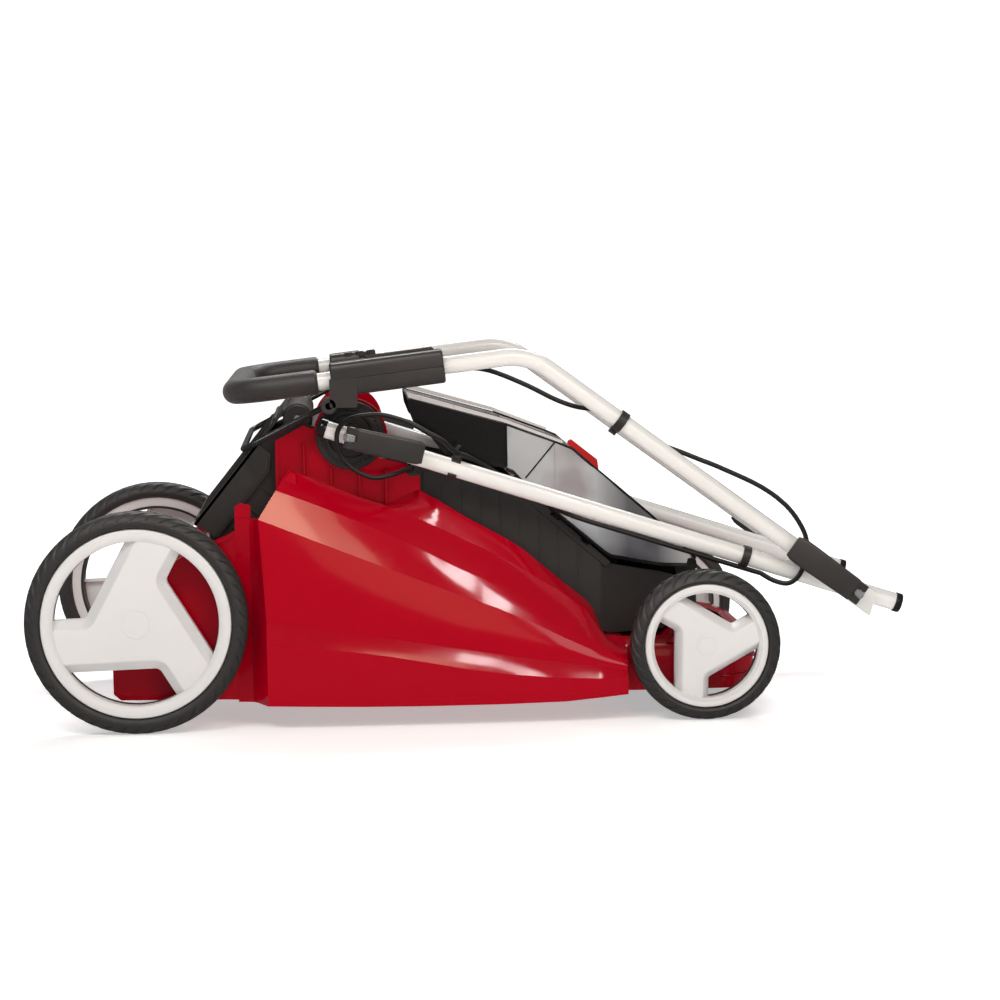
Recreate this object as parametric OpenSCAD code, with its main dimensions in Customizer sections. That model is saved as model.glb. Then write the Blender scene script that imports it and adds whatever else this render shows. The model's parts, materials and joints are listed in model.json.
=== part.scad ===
/* [Wheels] */
// Distance between the rear and the front axle
wheel_base = 640; // [630:5:650]
// Diameter of a rear wheel over its tyre
rear_wheel_d = 250; // [246:1:252]
// Diameter of a front wheel over its tyre
front_wheel_d = 170; // [166:1:172]
// Width of a tyre
tyre_w = 42; // [38:1:44]
// Distance between the middles of the left and right tyres
track = 418; // [414:1:424]
// Diameter of both axles
axle_d = 12; // [10:0.5:13]

/* [Deck] */
// Wall of the deck shell
deck_wall = 4; // [3:0.5:5]
// Half of the width over the inner cheeks, beside the wheels
cheek_y = 182; // [178:1:184]
// Height of the deck's roof over the blade
roof_z = 122; // [116:1:126]
// Height of the low front part of the deck
nose_z = 90; // [86:1:94]

/* [Handle] */
// Outer diameter of the handle tubes
tube_d = 20; // [18:0.5:21]
// Wall of the handle tubes
tube_wall = 1.5; // [1:0.1:2]
// Middle of the lower tubes, out from the centre plane
lower_tube_y = 184; // [184:1:186]
// Middle of the upper handle's arms, out from the centre plane
upper_tube_y = 211; // [211:1:212]
// Length of a lower tube from pivot to pivot
lower_len = 598; // [580:2:600]
// Angle of the folded lower tubes below level
lower_fall = 18.1; // [17:0.1:19]
// Angle of the folded upper handle's arms above level
arm_rise = 36.8; // [36:0.1:38]
// Length of an arm from its pivot to its bend
arm_len = 460; // [450:2:466]
// Length of the grip part, from the bend to the middle of the cross bar
grip_len = 331; // [326:1:336]
// Angle of the grip part below level, towards the back
grip_fall = 6.4; // [6:0.1:7]
// Diameter of the foam grip
foam_d = 28; // [26:1:30]
// Diameter of the pivot bolts
bolt_d = 8; // [6:0.5:8]

/* [Cutting] */
// Length of the blade
blade_len = 426; // [400:2:428]
// Height of the blade's underside
blade_z = 48; // [40:1:55]
// Distance of the blade's middle in front of the rear axle
blade_x = 340; // [336:1:344]

/* [Cable] */
// Diameter of the cable
cable_d = 5.5; // [5:0.1:5.6]

/* [Hidden] */
$fn = 64;

rear_r = rear_wheel_d / 2;
front_r = front_wheel_d / 2;
wheel_y = track / 2;
tube_r = tube_d / 2;
bore_r = tube_r - tube_wall;
running = 0.05;

// Lower pivot, then the upper pivot at the far end of the lower tubes
low_pivot = [243.5, 327];
tube_tail = 29;
tube_nose = 52;
up_pivot = low_pivot + lower_len * [cos(lower_fall), -sin(lower_fall)];
cap_len = 8;
tube_end_x = low_pivot[0] + (lower_len + tube_nose + cap_len) * cos(lower_fall);
// The object's middle along X, measured from the rear axle
middle_x = (tube_end_x + tube_r * sin(lower_fall) - rear_r) / 2;

// Bend of the upper handle and the frame of its grip part
bend_r = 70;
bend_at = up_pivot + arm_len * [-cos(arm_rise), sin(arm_rise)];
bend_turn = arm_rise + grip_fall;
corner_r = 42;
lever_gap = 0.5;
spacer = upper_tube_y - lower_tube_y - tube_d;

// Everything is drawn from the rear axle and moved to the middle here
module place() translate([-middle_x, 0, 0]) children();
// The left copy of a piece that is drawn on the right
module leftward() mirror([0, 1, 0]) children();
// A round bar along Y, from y0 to y1, at a place in side view
module bar_y(p, r, y0, y1) translate([p[0], y1, p[1]]) rotate([90, 0, 0]) cylinder(r = r, h = y1 - y0);
// A plate drawn in side view (X, Z), from y0 to y1
module plate_y(y0, y1) translate([0, y1, 0]) rotate([90, 0, 0]) linear_extrude(y1 - y0) children();
// A frame at a side-view place whose X axis rises at an angle
module along(p, angle) translate([p[0], 0, p[1]]) rotate([0, -angle, 0]) children();

// ---- swept round cord: one closed tube through a list of points ----
function unit(v) = v / norm(v);
function bezier(a, b, c, d, t) =
  a * pow(1 - t, 3) + b * 3 * t * pow(1 - t, 2) + c * 3 * t * t * (1 - t) + d * pow(t, 3);
// A smooth curve through the points, with n steps between neighbours
function smooth(p, n) = let(last = len(p) - 1)
  [for (i = [0:last - 1], k = [0:n - 1])
    let(m0 = (p[min(i + 1, last)] - p[max(i - 1, 0)]) / 6,
        m1 = (p[min(i + 2, last)] - p[i]) / 6)
    bezier(p[i], p[i] + m0, p[i + 1] - m1, p[i + 1], k / n), p[last]];
function tangent(p, i) = unit(p[min(i + 1, len(p) - 1)] - p[max(i - 1, 0)]);
module cord(points, d, steps = 2, sides = 8) {
  path = smooth(points, steps);
  rings = len(path);
  skin = [for (i = [0:rings - 1])
    let(t = tangent(path, i), u = unit(cross(t, [0.05, 1, 0.02])), v = cross(u, t))
    for (k = [0:sides - 1]) path[i] + d / 2 * (cos(360 * k / sides) * u + sin(360 * k / sides) * v)];
  sides_faces = [for (i = [0:rings - 2], k = [0:sides - 1])
    let(a = i * sides + k, b = i * sides + (k + 1) % sides)
    each [[a, b, b + sides], [a, b + sides, a + sides]]];
  ends = [[for (k = [sides - 1:-1:0]) k], [for (k = [0:sides - 1]) (rings - 1) * sides + k]];
  polyhedron(skin, concat(ends, sides_faces));
}

// ---- deck ----
// Crease lines of the right fender, each from the rear arch to the front arch
hem = [[145, -222, 28], [175, -223, 27], [250, -224, 25], [320, -224, 24],
       [410, -224, 24], [480, -222, 25], [522, -218, 28], [552, -212, 30]];
band_low = [[145, -223, 98], [175, -225, 93], [250, -226, 80], [320, -226, 69],
            [410, -226, 58], [480, -224, 52], [522, -219, 50], [552, -213, 48]];
band_high = [[145, -217, 120], [175, -218, 116], [250, -219, 104], [320, -219, 92],
             [410, -218, 78], [480, -216, 68], [522, -213, 62], [552, -209, 56]];
side_crease = [[139, -203, 238], [175, -203, 226], [250, -203, 202], [320, -204, 167],
               [410, -206, 122], [480, -208, 88], [522, -208, 74], [552, -206, 66]];
ridge = [[172, -172, 292], [190, -171, 284], [253, -169, 260], [320, -168, 230],
         [410, -168, 187], [480, -170, 154], [522, -184, 100], [552, -194, 80]];
rim_line = [[176, -154, 290], [195, -154, 282], [253, -154, 259], [320, -154, 264],
            [410, -154, 211], [480, -154, 160], [522, -160, 104], [552, -170, nose_z]];
roof_line = [for (p = rim_line) [p[0], p[1] + deck_wall, min(roof_z, p[2] - 1)]];
fender_outside = [hem, band_low, band_high, side_crease, ridge, rim_line,
                  [for (p = rim_line) p + [0, deck_wall, 0]], roof_line];
fender_inside = [
  [for (p = hem) p + [0, deck_wall, 0]], [for (p = band_low) p + [0, deck_wall, 0]],
  [for (p = band_high) p + [0, deck_wall, -1]], [for (p = side_crease) p + [0, deck_wall + 1, -3]],
  [for (p = ridge) p + [0, deck_wall + 1, -6]],
  [for (i = [0:7]) [rim_line[i][0], rim_line[i][1], ridge[i][2] - 6]],
  [for (p = roof_line) p + [0, -deck_wall, -deck_wall]], [for (p = roof_line) p + [0, 0, -deck_wall]]];

// The middle of the deck: both fenders and the roof between them, one loft
module fender_loft() {
  lines = concat(fender_outside, [for (k = [7:-1:0]) [for (p = fender_outside[k]) [p[0], -p[1], p[2]]]],
                 [for (k = [0:7]) [for (p = fender_inside[k]) [p[0], -p[1], p[2]]]],
                 [for (k = [7:-1:0]) fender_inside[k]]);
  n = len(lines);
  stations = len(hem);
  points = [for (s = [0:stations - 1], k = [0:n - 1]) lines[k][s]];
  skin = [for (s = [0:stations - 2], k = [0:n - 1])
    let(a = s * n + k, b = s * n + (k + 1) % n) each [[a, b, b + n], [a, b + n, a + n]]];
  // Outer line k and inner line n - 1 - k bound the wall
  rear_cap = [for (k = [0:n / 2 - 2]) let(a = k, b = k + 1, c = n - 2 - k, d = n - 1 - k)
    each [[c, b, a], [d, c, a]]];
  front_cap = [for (f = rear_cap) [for (i = [2:-1:0]) f[i] + (stations - 1) * n]];
  polyhedron(points, concat(skin, rear_cap, front_cap));
}

cheek_outline = [[-30, 40], [-30, 118], [10, 172], [60, 200], [92, 214], [112, 224], [112, 250],
                 [118, 253], [129, 252], [129, 233], [146, 238], [146, 28], [100, 30], [-22, 32]];
nose_plan = [[551, -cheek_y], [676, -cheek_y], [702, -168], [714, -140], [714, 140], [702, 168],
             [676, cheek_y], [551, cheek_y]];
// Height of the hump over the front axle
hump = 12;
nose_y = cheek_y - deck_wall;
module arch_web() difference() {
  plate_x(141, 146) polygon([[-222, 28], [-223, 98], [-217, 120], [-203, 236], [-176, 238],
                             [-176, 28]]);
  bar_y([0, rear_r], rear_r + 8, -260, -170);
}
// A plate drawn across the mower (Y, Z), from x0 to x1
module plate_x(x0, x1) translate([x0, 0, 0]) rotate([90, 0, 90]) linear_extrude(x1 - x0) children();

module deck_shell() color("#a3001b") place() difference() {
  union() {
    fender_loft();
    for (s = [-1, 1]) scale([1, s, 1]) {
      plate_y(-cheek_y, -cheek_y + 6) polygon(cheek_outline);
      arch_web();
      plate_x(547, 552) polygon([[-211, 31], [-212, 48], [-208, 56], [-205, 65], [-193, 79],
                                 [-176, 86], [-176, 31]]);
      plate_x(142, 180) polygon([[-180, 236], [-176, 236], [-150, 288], [-154, 288]]);
    }
    plate_y(-cheek_y, cheek_y) polygon([[-30, 40], [-26, 40], [-26, 116], [14, 168], [78, 196],
                                        [76, 200], [10, 172], [-30, 118]]);
    difference() {
      union() {
        translate([0, 0, 30]) linear_extrude(nose_z - 30) polygon(nose_plan);
        translate([612, -cheek_y, nose_z - 1]) cube([56, 2 * cheek_y, hump + 1]);
      }
      translate([545, -nose_y, 20]) cube([153, 2 * nose_y, nose_z - 20 - deck_wall]);
      translate([616, -nose_y, 20]) cube([48, 2 * nose_y, nose_z - 20 - deck_wall + hump]);
    }
  }
  // Seats of the handle brackets, the way up into the chute, the motor's spigot and the two axles
  for (s = [-1, 1]) scale([1, s, 1]) bracket_body();
  translate([156, -136, 90]) cube([92, 272, 60]);
  translate([blade_x, 0, 90]) cylinder(r = 40, h = 60);
  for (w = [[0, rear_r], [wheel_base, front_r]]) {
    bar_y(w, 8, -200, -170);
    bar_y(w, 8, 170, 200);
  }
}

// ---- rear brackets, drums, chute ----
bracket_y = -154;
plate_t = 6;
flap_pin = [184, 346];
flap_barrel_r = 17;
flap_dir = [0.629, 0.777];
flap_in = [0.777, -0.629];
flap_tip = [63, 228];
flap_rod_d = 8;

module bracket_outline() {
  polygon([[158, 262], [158, 322], [190, 339], [204, 333], [240, 300], [290, 296], [322, 290], [322, 244],
           [253, 238]]);
  translate(low_pivot) circle(r = 42);
}
// Stiffening ribs: place along X, height of the foot and height of the top
bracket_ribs = [[190, 278, 318], [221, 266, 291], [253, 254, 284], [283, 248, 288]];
module bracket_body() {
  plate_y(bracket_y, bracket_y + plate_t) bracket_outline();
  for (rib = bracket_ribs)
    translate([rib[0] - 1.5, bracket_y - 7, rib[1]]) cube([3, 7.5, rib[2] - rib[1]]);
}
module handle_bracket() difference() {
  union() {
    bracket_body();
    plate_y(bracket_y - 4, bracket_y) difference() {
      translate(low_pivot) circle(r = 42);
      translate(low_pivot) circle(r = 39.2);
    }
  }
  bar_y(low_pivot, bolt_d / 2 + running, -200, -100);
}
module pivot_drum() difference() {
  union() {
    bar_y(low_pivot, 38.9, -lower_tube_y + tube_r + 6, bracket_y - lever_gap);
    bar_y(low_pivot, 28.5, -lower_tube_y + tube_r + 0.3, -lower_tube_y + tube_r + 6);
  }
  bar_y(low_pivot, bolt_d / 2 + running, -200, -100);
}

function flap_edge(s, inward) = flap_tip + flap_dir * s + flap_in * inward;
module discharge_chute() color("#232222") place() difference() {
  union() {
    plate_y(-140, 140) polygon([flap_edge(8, 10), flap_edge(20, 5), flap_edge(128, 5), [184, 340],
                                [252, 330], [258, 250], [258, roof_z], [150, roof_z], [88, 196]]);
    bar_y(flap_pin, 15, -140, -134);
    bar_y(flap_pin, 15, 134, 140);
  }
  // Hollow way from the blade up to the mouth, and room for the flap's barrel
  plate_y(-136, 136) polygon([flap_edge(6, -20), flap_edge(150, -20), [168, 300], [246, 296], [254, 240],
                              [254, 100], [156, 100], [156, roof_z + 4], [92, 200], flap_edge(4, 8)]);
  bar_y(flap_pin, flap_barrel_r + 1, -133.5, 133.5);
  bar_y(flap_pin, flap_rod_d / 2, -200, 200);
}
// The rod's ends are turned down to catcher pins
catcher_pin_r = 3.5;
module flap_rod() color("silver") place() {
  bar_y(flap_pin, flap_rod_d / 2, -141, 141);
  bar_y(flap_pin, catcher_pin_r, -147, 147);
}

module rear_flap() color("#2e2c2b") place() difference() {
  union() {
    plate_y(-133, 133) polygon([flap_edge(0, 0), flap_edge(167, 0), flap_edge(167, 3.5), flap_edge(0, 3.5)]);
    for (s = [-1, 1]) {
      plate_y(s * 143.3 - 1.7, s * 143.3 + 1.7)
        polygon([flap_edge(0, 0), flap_edge(118, 0), flap_edge(118, 22), flap_edge(100, 32),
                 flap_edge(0, 32)]);
      plate_y(s * 139 - 6, s * 139 + 6)
        polygon([flap_edge(0, 0), flap_edge(118, 0), flap_edge(118, 3.5), flap_edge(0, 3.5)]);
    }
    bar_y(flap_pin, flap_barrel_r, -133, 133);
  }
  bar_y(flap_pin, flap_rod_d / 2 + running, -200, 200);
}

// ---- motor housing, cover and what is under it ----
housing_y = 144;
housing_wall = 3;
cover_y = 134;
cover_pin = [634, 152];
cover_pin_d = 6;
housing_side = [[262, 240], [262, 300], [318, 300], [424, 276], [454, 244], [537, 172], [600, 158],
                [646, 144], [646, nose_z + hump], [608, nose_z + hump], [608, nose_z], [553, nose_z],
                [522, roof_z - 18], [481, roof_z], [262, roof_z]];
housing_plan = [[262, -housing_y], [525, -housing_y], [620, -104], [646, -88], [646, 88], [620, 104],
                [525, housing_y], [262, housing_y]];
module motor_housing() color("#2e2c2b") place() difference() {
  union() {
    intersection() {
      plate_y(-200, 200) polygon(housing_side);
      translate([0, 0, 50]) linear_extrude(300) polygon(housing_plan);
    }
    // Castellated clips along the sloping top edge
    for (s = [-1, 1], k = [0:2])
      translate([460 + 22 * k, s * (housing_y - 1.5) - 1.1, 230 - 19.1 * k]) rotate([0, 41, 0])
        cube([14, 2.2, 11]);
  }
  // Open top and hollow inside
  intersection() {
    plate_y(-200, 200) polygon([[265, 243], [265, 320], [330, 320], [700, 240], [643, 140],
                                [643, nose_z + hump + 3], [605, nose_z + hump + 3], [605, nose_z + 3],
                                [554, nose_z + 3], [523, roof_z - 15], [482, roof_z + 3],
                                [265, roof_z + 3]]);
    translate([0, 0, 50]) linear_extrude(300)
      polygon([[265, -housing_y + 3], [524, -housing_y + 3], [618, -101], [643, -85], [643, 85], [618, 101],
               [524, housing_y - 3], [265, housing_y - 3]]);
  }
  translate([blade_x, 0, 100]) cylinder(r = 30, h = 60);
  bar_y(cover_pin, cover_pin_d / 2 + running, -150, 150);
}

cover_top = [[311, 367], [420, 336], [478, 314], [497, 306], [548, 262], [598, 218], [648, 168]];
// Lower edge of the cover, along the housing's top
cover_foot = [[642, 160], [600, 164], [540, 178], [456, 250], [428, 280], [352, 297], [330, 302],
              [318, 322], [312, 348]];
cover_hollow = [[317, 361], [420, 332], [478, 310], [495, 302], [640, 170], [630, 100], [300, 100],
                [320, 330]];
// The cover narrows towards its front end
cover_plan = [[300, -cover_y], [530, -cover_y], [616, -96], [650, -78], [650, 78], [616, 96],
              [530, cover_y], [300, cover_y]];
module cover_column(inset) translate([0, 0, 90]) linear_extrude(300)
  offset(delta = -inset) polygon(cover_plan);
module cover_shell() difference() {
  intersection() {
    plate_y(-cover_y, cover_y) polygon(concat(cover_top, cover_foot));
    cover_column(0);
  }
  intersection() {
    plate_y(-cover_y, cover_y) polygon(cover_hollow);
    cover_column(3);
  }
}
// All that lies ahead of the cover's black rear part and above its foot rail
module window_zone(gap) plate_y(-cover_y - 1, cover_y + 1)
  polygon([[422 + gap, 400], [700, 400], [700, 169 + gap], [642, 169 + gap], [600, 173 + gap],
           [542, 187 + gap], [457, 260 + gap], [422 + gap, 293 + gap]]);
module cover_frame() color("#2b2928") place() {
  difference() {
    cover_shell();
    window_zone(0);
  }
  for (s = [-1, 1]) {
    plate_y(s * 78 - 4, s * 78 + 4)
      polygon([[622, 146], [640, 146], [645, 166], [640, 168], [620, 168]]);
    bar_y(cover_pin, cover_pin_d / 2, s * 84 - 10, s * 84 + 10);
  }
}
module cover_window() color("slategray", 0.6) place() intersection() {
  cover_shell();
  window_zone(0.4);
}
module cover_trim() color("#d8d6d2") place() for (s = [-1, 1])
  plate_y(s * (cover_y - 4) - 4, s * (cover_y - 4) + 4)
    polygon([[311, 367.4], [420, 336.4], [478, 314.4], [478, 318.5], [420, 341], [308, 374]]);

tray_z = 150;
pack = [118, 74, 62];
pack_x = 428;
module battery_tray() color("#3a3836") place() difference() {
  translate([pack_x - 6, -88, tray_z]) cube([pack[0] + 12, 176, 40]);
  for (s = [-1, 1])
    translate([pack_x - 0.5, s * 42 - pack[1] / 2 - 0.5, tray_z + 6]) cube([pack[0] + 1, pack[1] + 1, 60]);
}
module battery_pack() union() {
  translate([pack_x, 5, tray_z + 6]) cube([pack[0], pack[1], 34]);
  plate_y(9, 75) polygon([[pack_x + 3, tray_z + 40], [pack_x + 92, tray_z + 40], [pack_x + 60, tray_z + 68],
                          [pack_x + 3, tray_z + 76]]);
}
module motor() color("dimgray") place() difference() {
  union() {
    translate([blade_x, 0, roof_z + 3]) cylinder(r = 62, h = 6);
    translate([blade_x, 0, roof_z + 9]) cylinder(r = 54, h = 76);
    translate([blade_x, 0, roof_z + 85]) cylinder(r = 22, h = 12);
  }
  translate([blade_x, 0, 0]) cylinder(r = 6 + running, h = roof_z + 60);
}
module control_board() color("darkgreen") place() {
  translate([296, -58, 262]) cube([104, 116, 3]);
  for (x = [312, 368], y = [-30, 30]) translate([x, y, roof_z + 85]) cylinder(r = 4, h = 177 - roof_z);
  for (y = [-34, -12, 10, 32]) translate([312, y, 265]) cube([26, 14, 16]);
  for (y = [-24, 24]) translate([366, y, 265]) cylinder(r = 9, h = 22);
}
module key_socket() color("#232222") place() difference() {
  translate([406, -16, roof_z + 3]) cube([14, 32, 273 - roof_z]);
  translate([409.5, -9, 250]) cube([7, 18, 30]);
}
module safety_key() color("gold") place() {
  translate([409.6, -8.9, 252]) cube([6.8, 17.8, 26]);
  translate([410, -17, 278]) cube([6, 34, 12]);
}
module housing_screws() color("silver") place() {
  for (s = [-1, 1], x = [284, 400, 500]) translate([x, s * 126, roof_z + 3]) cylinder(r = 4, h = 4);
  for (a = [45:90:315]) translate([blade_x, 0, roof_z + 9]) rotate(a) translate([58, 0, 0])
    cylinder(r = 3, h = 4);
}

// ---- blade group, all on one vertical axis ----
module on_blade_axis() place() translate([blade_x, 0, 0]) children();
module motor_shaft() color("silver") on_blade_axis() translate([0, 0, 62]) cylinder(r = 6, h = roof_z - 12);
module blade_carrier() color("#232222") on_blade_axis() difference() {
  union() {
    translate([0, 0, 62]) cylinder(r = 26, h = 30);
    translate([0, 0, 66]) cylinder(r = 58, h = 4);
    for (a = [0:45:315]) rotate(a) translate([24, -1.5, 70]) cube([33, 3, 14]);
  }
  translate([0, 0, 50]) cylinder(r = 6, h = 60);
}
module blade() color("#5c5f62") on_blade_axis() difference() {
  union() {
    translate([-blade_len / 2, -24, blade_z]) cube([blade_len, 48, 4]);
    for (a = [0, 180]) rotate(a) translate([blade_len / 2 - 90, 20, blade_z + 1]) rotate([40, 0, 0])
      cube([80, 18, 3]);
  }
  translate([0, 0, 40]) cylinder(r = 5 + running, h = 20);
  difference() {
    translate([0, 0, 40]) cylinder(r = 300, h = 60);
    translate([0, 0, 30]) cylinder(r = blade_len / 2, h = 80);
  }
}
module blade_bolt() color("silver") on_blade_axis() {
  translate([0, 0, blade_z - 8]) cylinder(r = 8, h = 8, $fn = 6);
  translate([0, 0, blade_z - 2]) cylinder(r = 5, h = 16);
  difference() {
    translate([0, 0, blade_z + 4.2]) cylinder(r = 16, h = 9.6);
    translate([0, 0, blade_z - 2]) cylinder(r = 5, h = 30);
  }
}

// ---- axles and wheels ----
module rear_axle() color("silver") place() bar_y([0, rear_r], axle_d / 2, -221, 221);
module front_axle() color("silver") place() bar_y([wheel_base, front_r], axle_d / 2, -221, 221);
module axle_clamps() color("#232222") place() for (s = [-1, 1], w = [[0, rear_r], [wheel_base, front_r]])
  difference() {
    plate_y(s * 165 - 11, s * 165 + 11) translate(w)
      polygon([[-16, -14], [16, -14], [16, 12], [0, 12], [-16, -8]]);
    bar_y(w, axle_d / 2 + running, -200, 200);
  }

module tyre(r, rim_r) rotate([90, 0, 0]) rotate_extrude($fn = 96) polygon([
  [rim_r, -tyre_w / 2 + 5], [rim_r + 2, -tyre_w / 2 + 1], [r - 10, -tyre_w / 2], [r - 3, -tyre_w / 2 + 5],
  [r, -tyre_w / 2 + 14], [r, tyre_w / 2 - 14], [r - 3, tyre_w / 2 - 5], [r - 10, tyre_w / 2],
  [rim_r + 2, tyre_w / 2 - 1], [rim_r, tyre_w / 2 - 5]]);
// Three spokes set off to one side of the hub, each between two parallel edges
module spokes(r, first, near, far, hand) {
  back = -(near + far / 2 + 2) / cos(30);
  intersection() {
    circle(r = r);
    for (k = [0:2]) rotate(first + 120 * k) scale([1, hand])
      polygon([[back, near], [r + 5, near], [r + 5, far], [back, far]]);
  }
}
// Outboard is -Y; the bore is blind, so that the hub's face covers the axle's end
module rim(rim_r, ring_t, hub_r, first_spoke, near, far, hand) rotate([90, 0, 0]) difference() {
  union() {
    rotate_extrude($fn = 96) polygon([
      [rim_r - ring_t, -14], [rim_r, -tyre_w / 2 + 5.2], [rim_r, tyre_w / 2 - 5.2],
      [rim_r - 3, tyre_w / 2 - 2], [rim_r - ring_t + 2, tyre_w / 2 - 3],
      [rim_r - ring_t, tyre_w / 2 - 8]]);
    translate([0, 0, -2]) linear_extrude(14) spokes(rim_r - ring_t / 2, first_spoke, near, far, hand);
    translate([0, 0, -18]) cylinder(r = hub_r, h = 33);
  }
  translate([0, 0, -30]) cylinder(r = axle_d / 2 + running, h = 43);
}
module rear_wheel_place(s) place() translate([0, s * wheel_y, rear_r]) children();
module front_wheel_place(s) place() translate([wheel_base, s * wheel_y, front_r]) children();
rear_rim_r = 107;
front_rim_r = 70.5;
module rear_tyre() tyre(rear_r, rear_rim_r);
module rear_rim() rim(rear_rim_r, 12, 27, 61.5, 3, 43, 1);
module front_tyre() tyre(front_r, front_rim_r);
module front_rim() rim(front_rim_r, 9, 19, 29, 3, 27.5, -1);

// ---- lower tubes, caps, bolts ----
module lower_axis_place() along(low_pivot, -lower_fall) children();
module lower_tube(free_bore) lower_axis_place() translate([0, -lower_tube_y, 0]) difference() {
  translate([-tube_tail, 0, 0]) rotate([0, 90, 0])
    cylinder(r = tube_r, h = tube_tail + lower_len + tube_nose);
  translate([-tube_tail - 1, 0, 0]) rotate([0, 90, 0]) cylinder(r = bore_r, h = 800);
  translate([0, 20, 0]) rotate([90, 0, 0]) cylinder(r = bolt_d / 2, h = 40);
  translate([lower_len, 20, 0]) rotate([90, 0, 0]) cylinder(r = bolt_d / 2 + free_bore, h = 40);
}
module tube_caps() lower_axis_place() translate([0, -lower_tube_y, 0]) for (end = [0, 1])
  translate([end == 0 ? -tube_tail : lower_len + tube_nose, 0, 0]) rotate([0, end == 0 ? -90 : 90, 0]) {
    cylinder(r = tube_r + 1, h = cap_len);
    translate([0, 0, -8]) cylinder(r = bore_r, h = 8);
  }
// A ring around a handle tube that also holds the cable at an offset (across, down), drawn around the X axis
module clip_ring(w, cable_at) rotate([0, 90, 0]) difference() {
  union() {
    cylinder(r = tube_r + 2.5, h = w, center = true);
    translate(cable_at) cylinder(r = cable_d / 2 + 2.2, h = w, center = true);
  }
  cylinder(r = tube_r, h = w + 2, center = true);
  translate(cable_at) cylinder(r = cable_d / 2 + 0.2, h = w + 2, center = true);
}
module lower_cable_clips() color("#232222") place() lower_axis_place() translate([0, -lower_tube_y, 0]) {
  translate([122, 0, 0]) rotate([0, 90, 0]) difference() {
    cylinder(r = tube_r + 2.5, h = 12, center = true);
    cylinder(r = tube_r, h = 14, center = true);
  }
  translate([122 - 6, -4, tube_r + 2]) cube([12, 8, 2]);
  translate([470, 0, 0]) clip_ring(10, [13.2, 0]);
}
// Bolt through a pivot; its outer end carries the barrel that the lever turns on
lever_pin_d = 7;
module cam_bolt(y_in, y_out, u_angle) {
  rotate([90, 0, 0]) translate([0, 0, -y_in]) cylinder(r = bolt_d / 2, h = y_in - y_out + 2);
  translate([0, y_out, 0]) rotate([0, -u_angle, 0]) cylinder(r = lever_pin_d / 2, h = 25, center = true);
  rotate([90, 0, 0]) translate([0, 0, -y_in]) cylinder(r = 7.5, h = 6, $fn = 6);
}
lower_pin_y = -211.5;
lower_lever_tilt = -13.5;
upper_pin_y = -229;
module lower_bolt() translate([low_pivot[0], 0, low_pivot[1]]) {
  cam_bolt(bracket_y + plate_t + 6.5, lower_pin_y, lower_lever_tilt);
  translate([0, -lower_tube_y - tube_r, 0]) rotate([90, 0, 0]) difference() {
    cylinder(r = 8, h = 10.5);
    translate([0, 0, -1]) cylinder(r = bolt_d / 2, h = 20);
  }
}

// Cam lever: side outline in (along, out), cut to its outline in (along, across)
module cam_lever(length, w_root, w_tip) difference() {
  intersection() {
    rotate([90, 0, 0]) translate([0, 0, -20]) linear_extrude(60) polygon([
      [-10, -w_root / 2 + 4], [-6, -w_root / 2], [length * 0.3, -w_root / 2 - 1], [length - 5, -w_tip / 2],
      [length, -w_tip / 2 + 5], [length, w_tip / 2 - 5], [length - 5, w_tip / 2],
      [length * 0.3, w_root / 2 + 1], [-6, w_root / 2], [-10, w_root / 2 - 4]]);
    union() {
      cylinder(r = 6.3, h = 80, center = true);
      linear_extrude(80, center = true)
        polygon([[0, 6], [14, 3], [length * 0.55, 3], [length, 5], [length, 0], [length * 0.8, -4],
                 [length * 0.4, -9], [12, -9.5], [0, -6]]);
    }
  }
  cylinder(r = lever_pin_d / 2 + running, h = 80, center = true);
  translate([-12, -15, -4.6]) cube([20, 30, 9.2]);
}
module lower_lever() translate([low_pivot[0], lower_pin_y, low_pivot[1]]) rotate([0, -lower_lever_tilt, 0])
  cam_lever(84, 24, 27);
module upper_lever() translate([up_pivot[0], upper_pin_y, up_pivot[1]]) rotate([0, arm_rise - 180, 0])
  cam_lever(92, 25, 30);

// ---- upper handle ----
// The frame of the grip part: X runs back from the bend, and the grip lies in its XY plane
module grip_frame() translate([bend_at[0], 0, bend_at[1]]) rotate([0, 180 - grip_fall, 0])
  children();
bend_cut = bend_r * tan(bend_turn / 2);
flat_len = 46;
// Bends are a little thicker than the straights, which run this far into them
seam = 1.5;
bend_swell = 0.25;
module bend(radius, angle, r) rotate_extrude(angle = angle) translate([radius, 0])
  circle(r = r + bend_swell);
// The U at the back of the grip part, its arms starting at a distance from the bend
module grip_sweep(r, from) grip_frame() {
  for (s = [-1, 1]) {
    translate([from, s * upper_tube_y, 0]) rotate([0, 90, 0])
      cylinder(r = r, h = grip_len - from - corner_r + seam);
    translate([grip_len - corner_r, s * (upper_tube_y - corner_r), 0]) rotate(s > 0 ? 0 : -90)
      bend(corner_r, 90, r);
  }
  translate([grip_len, upper_tube_y - corner_r + seam, 0]) rotate([90, 0, 0])
    cylinder(r = r, h = 2 * (upper_tube_y - corner_r + seam));
}
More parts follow.
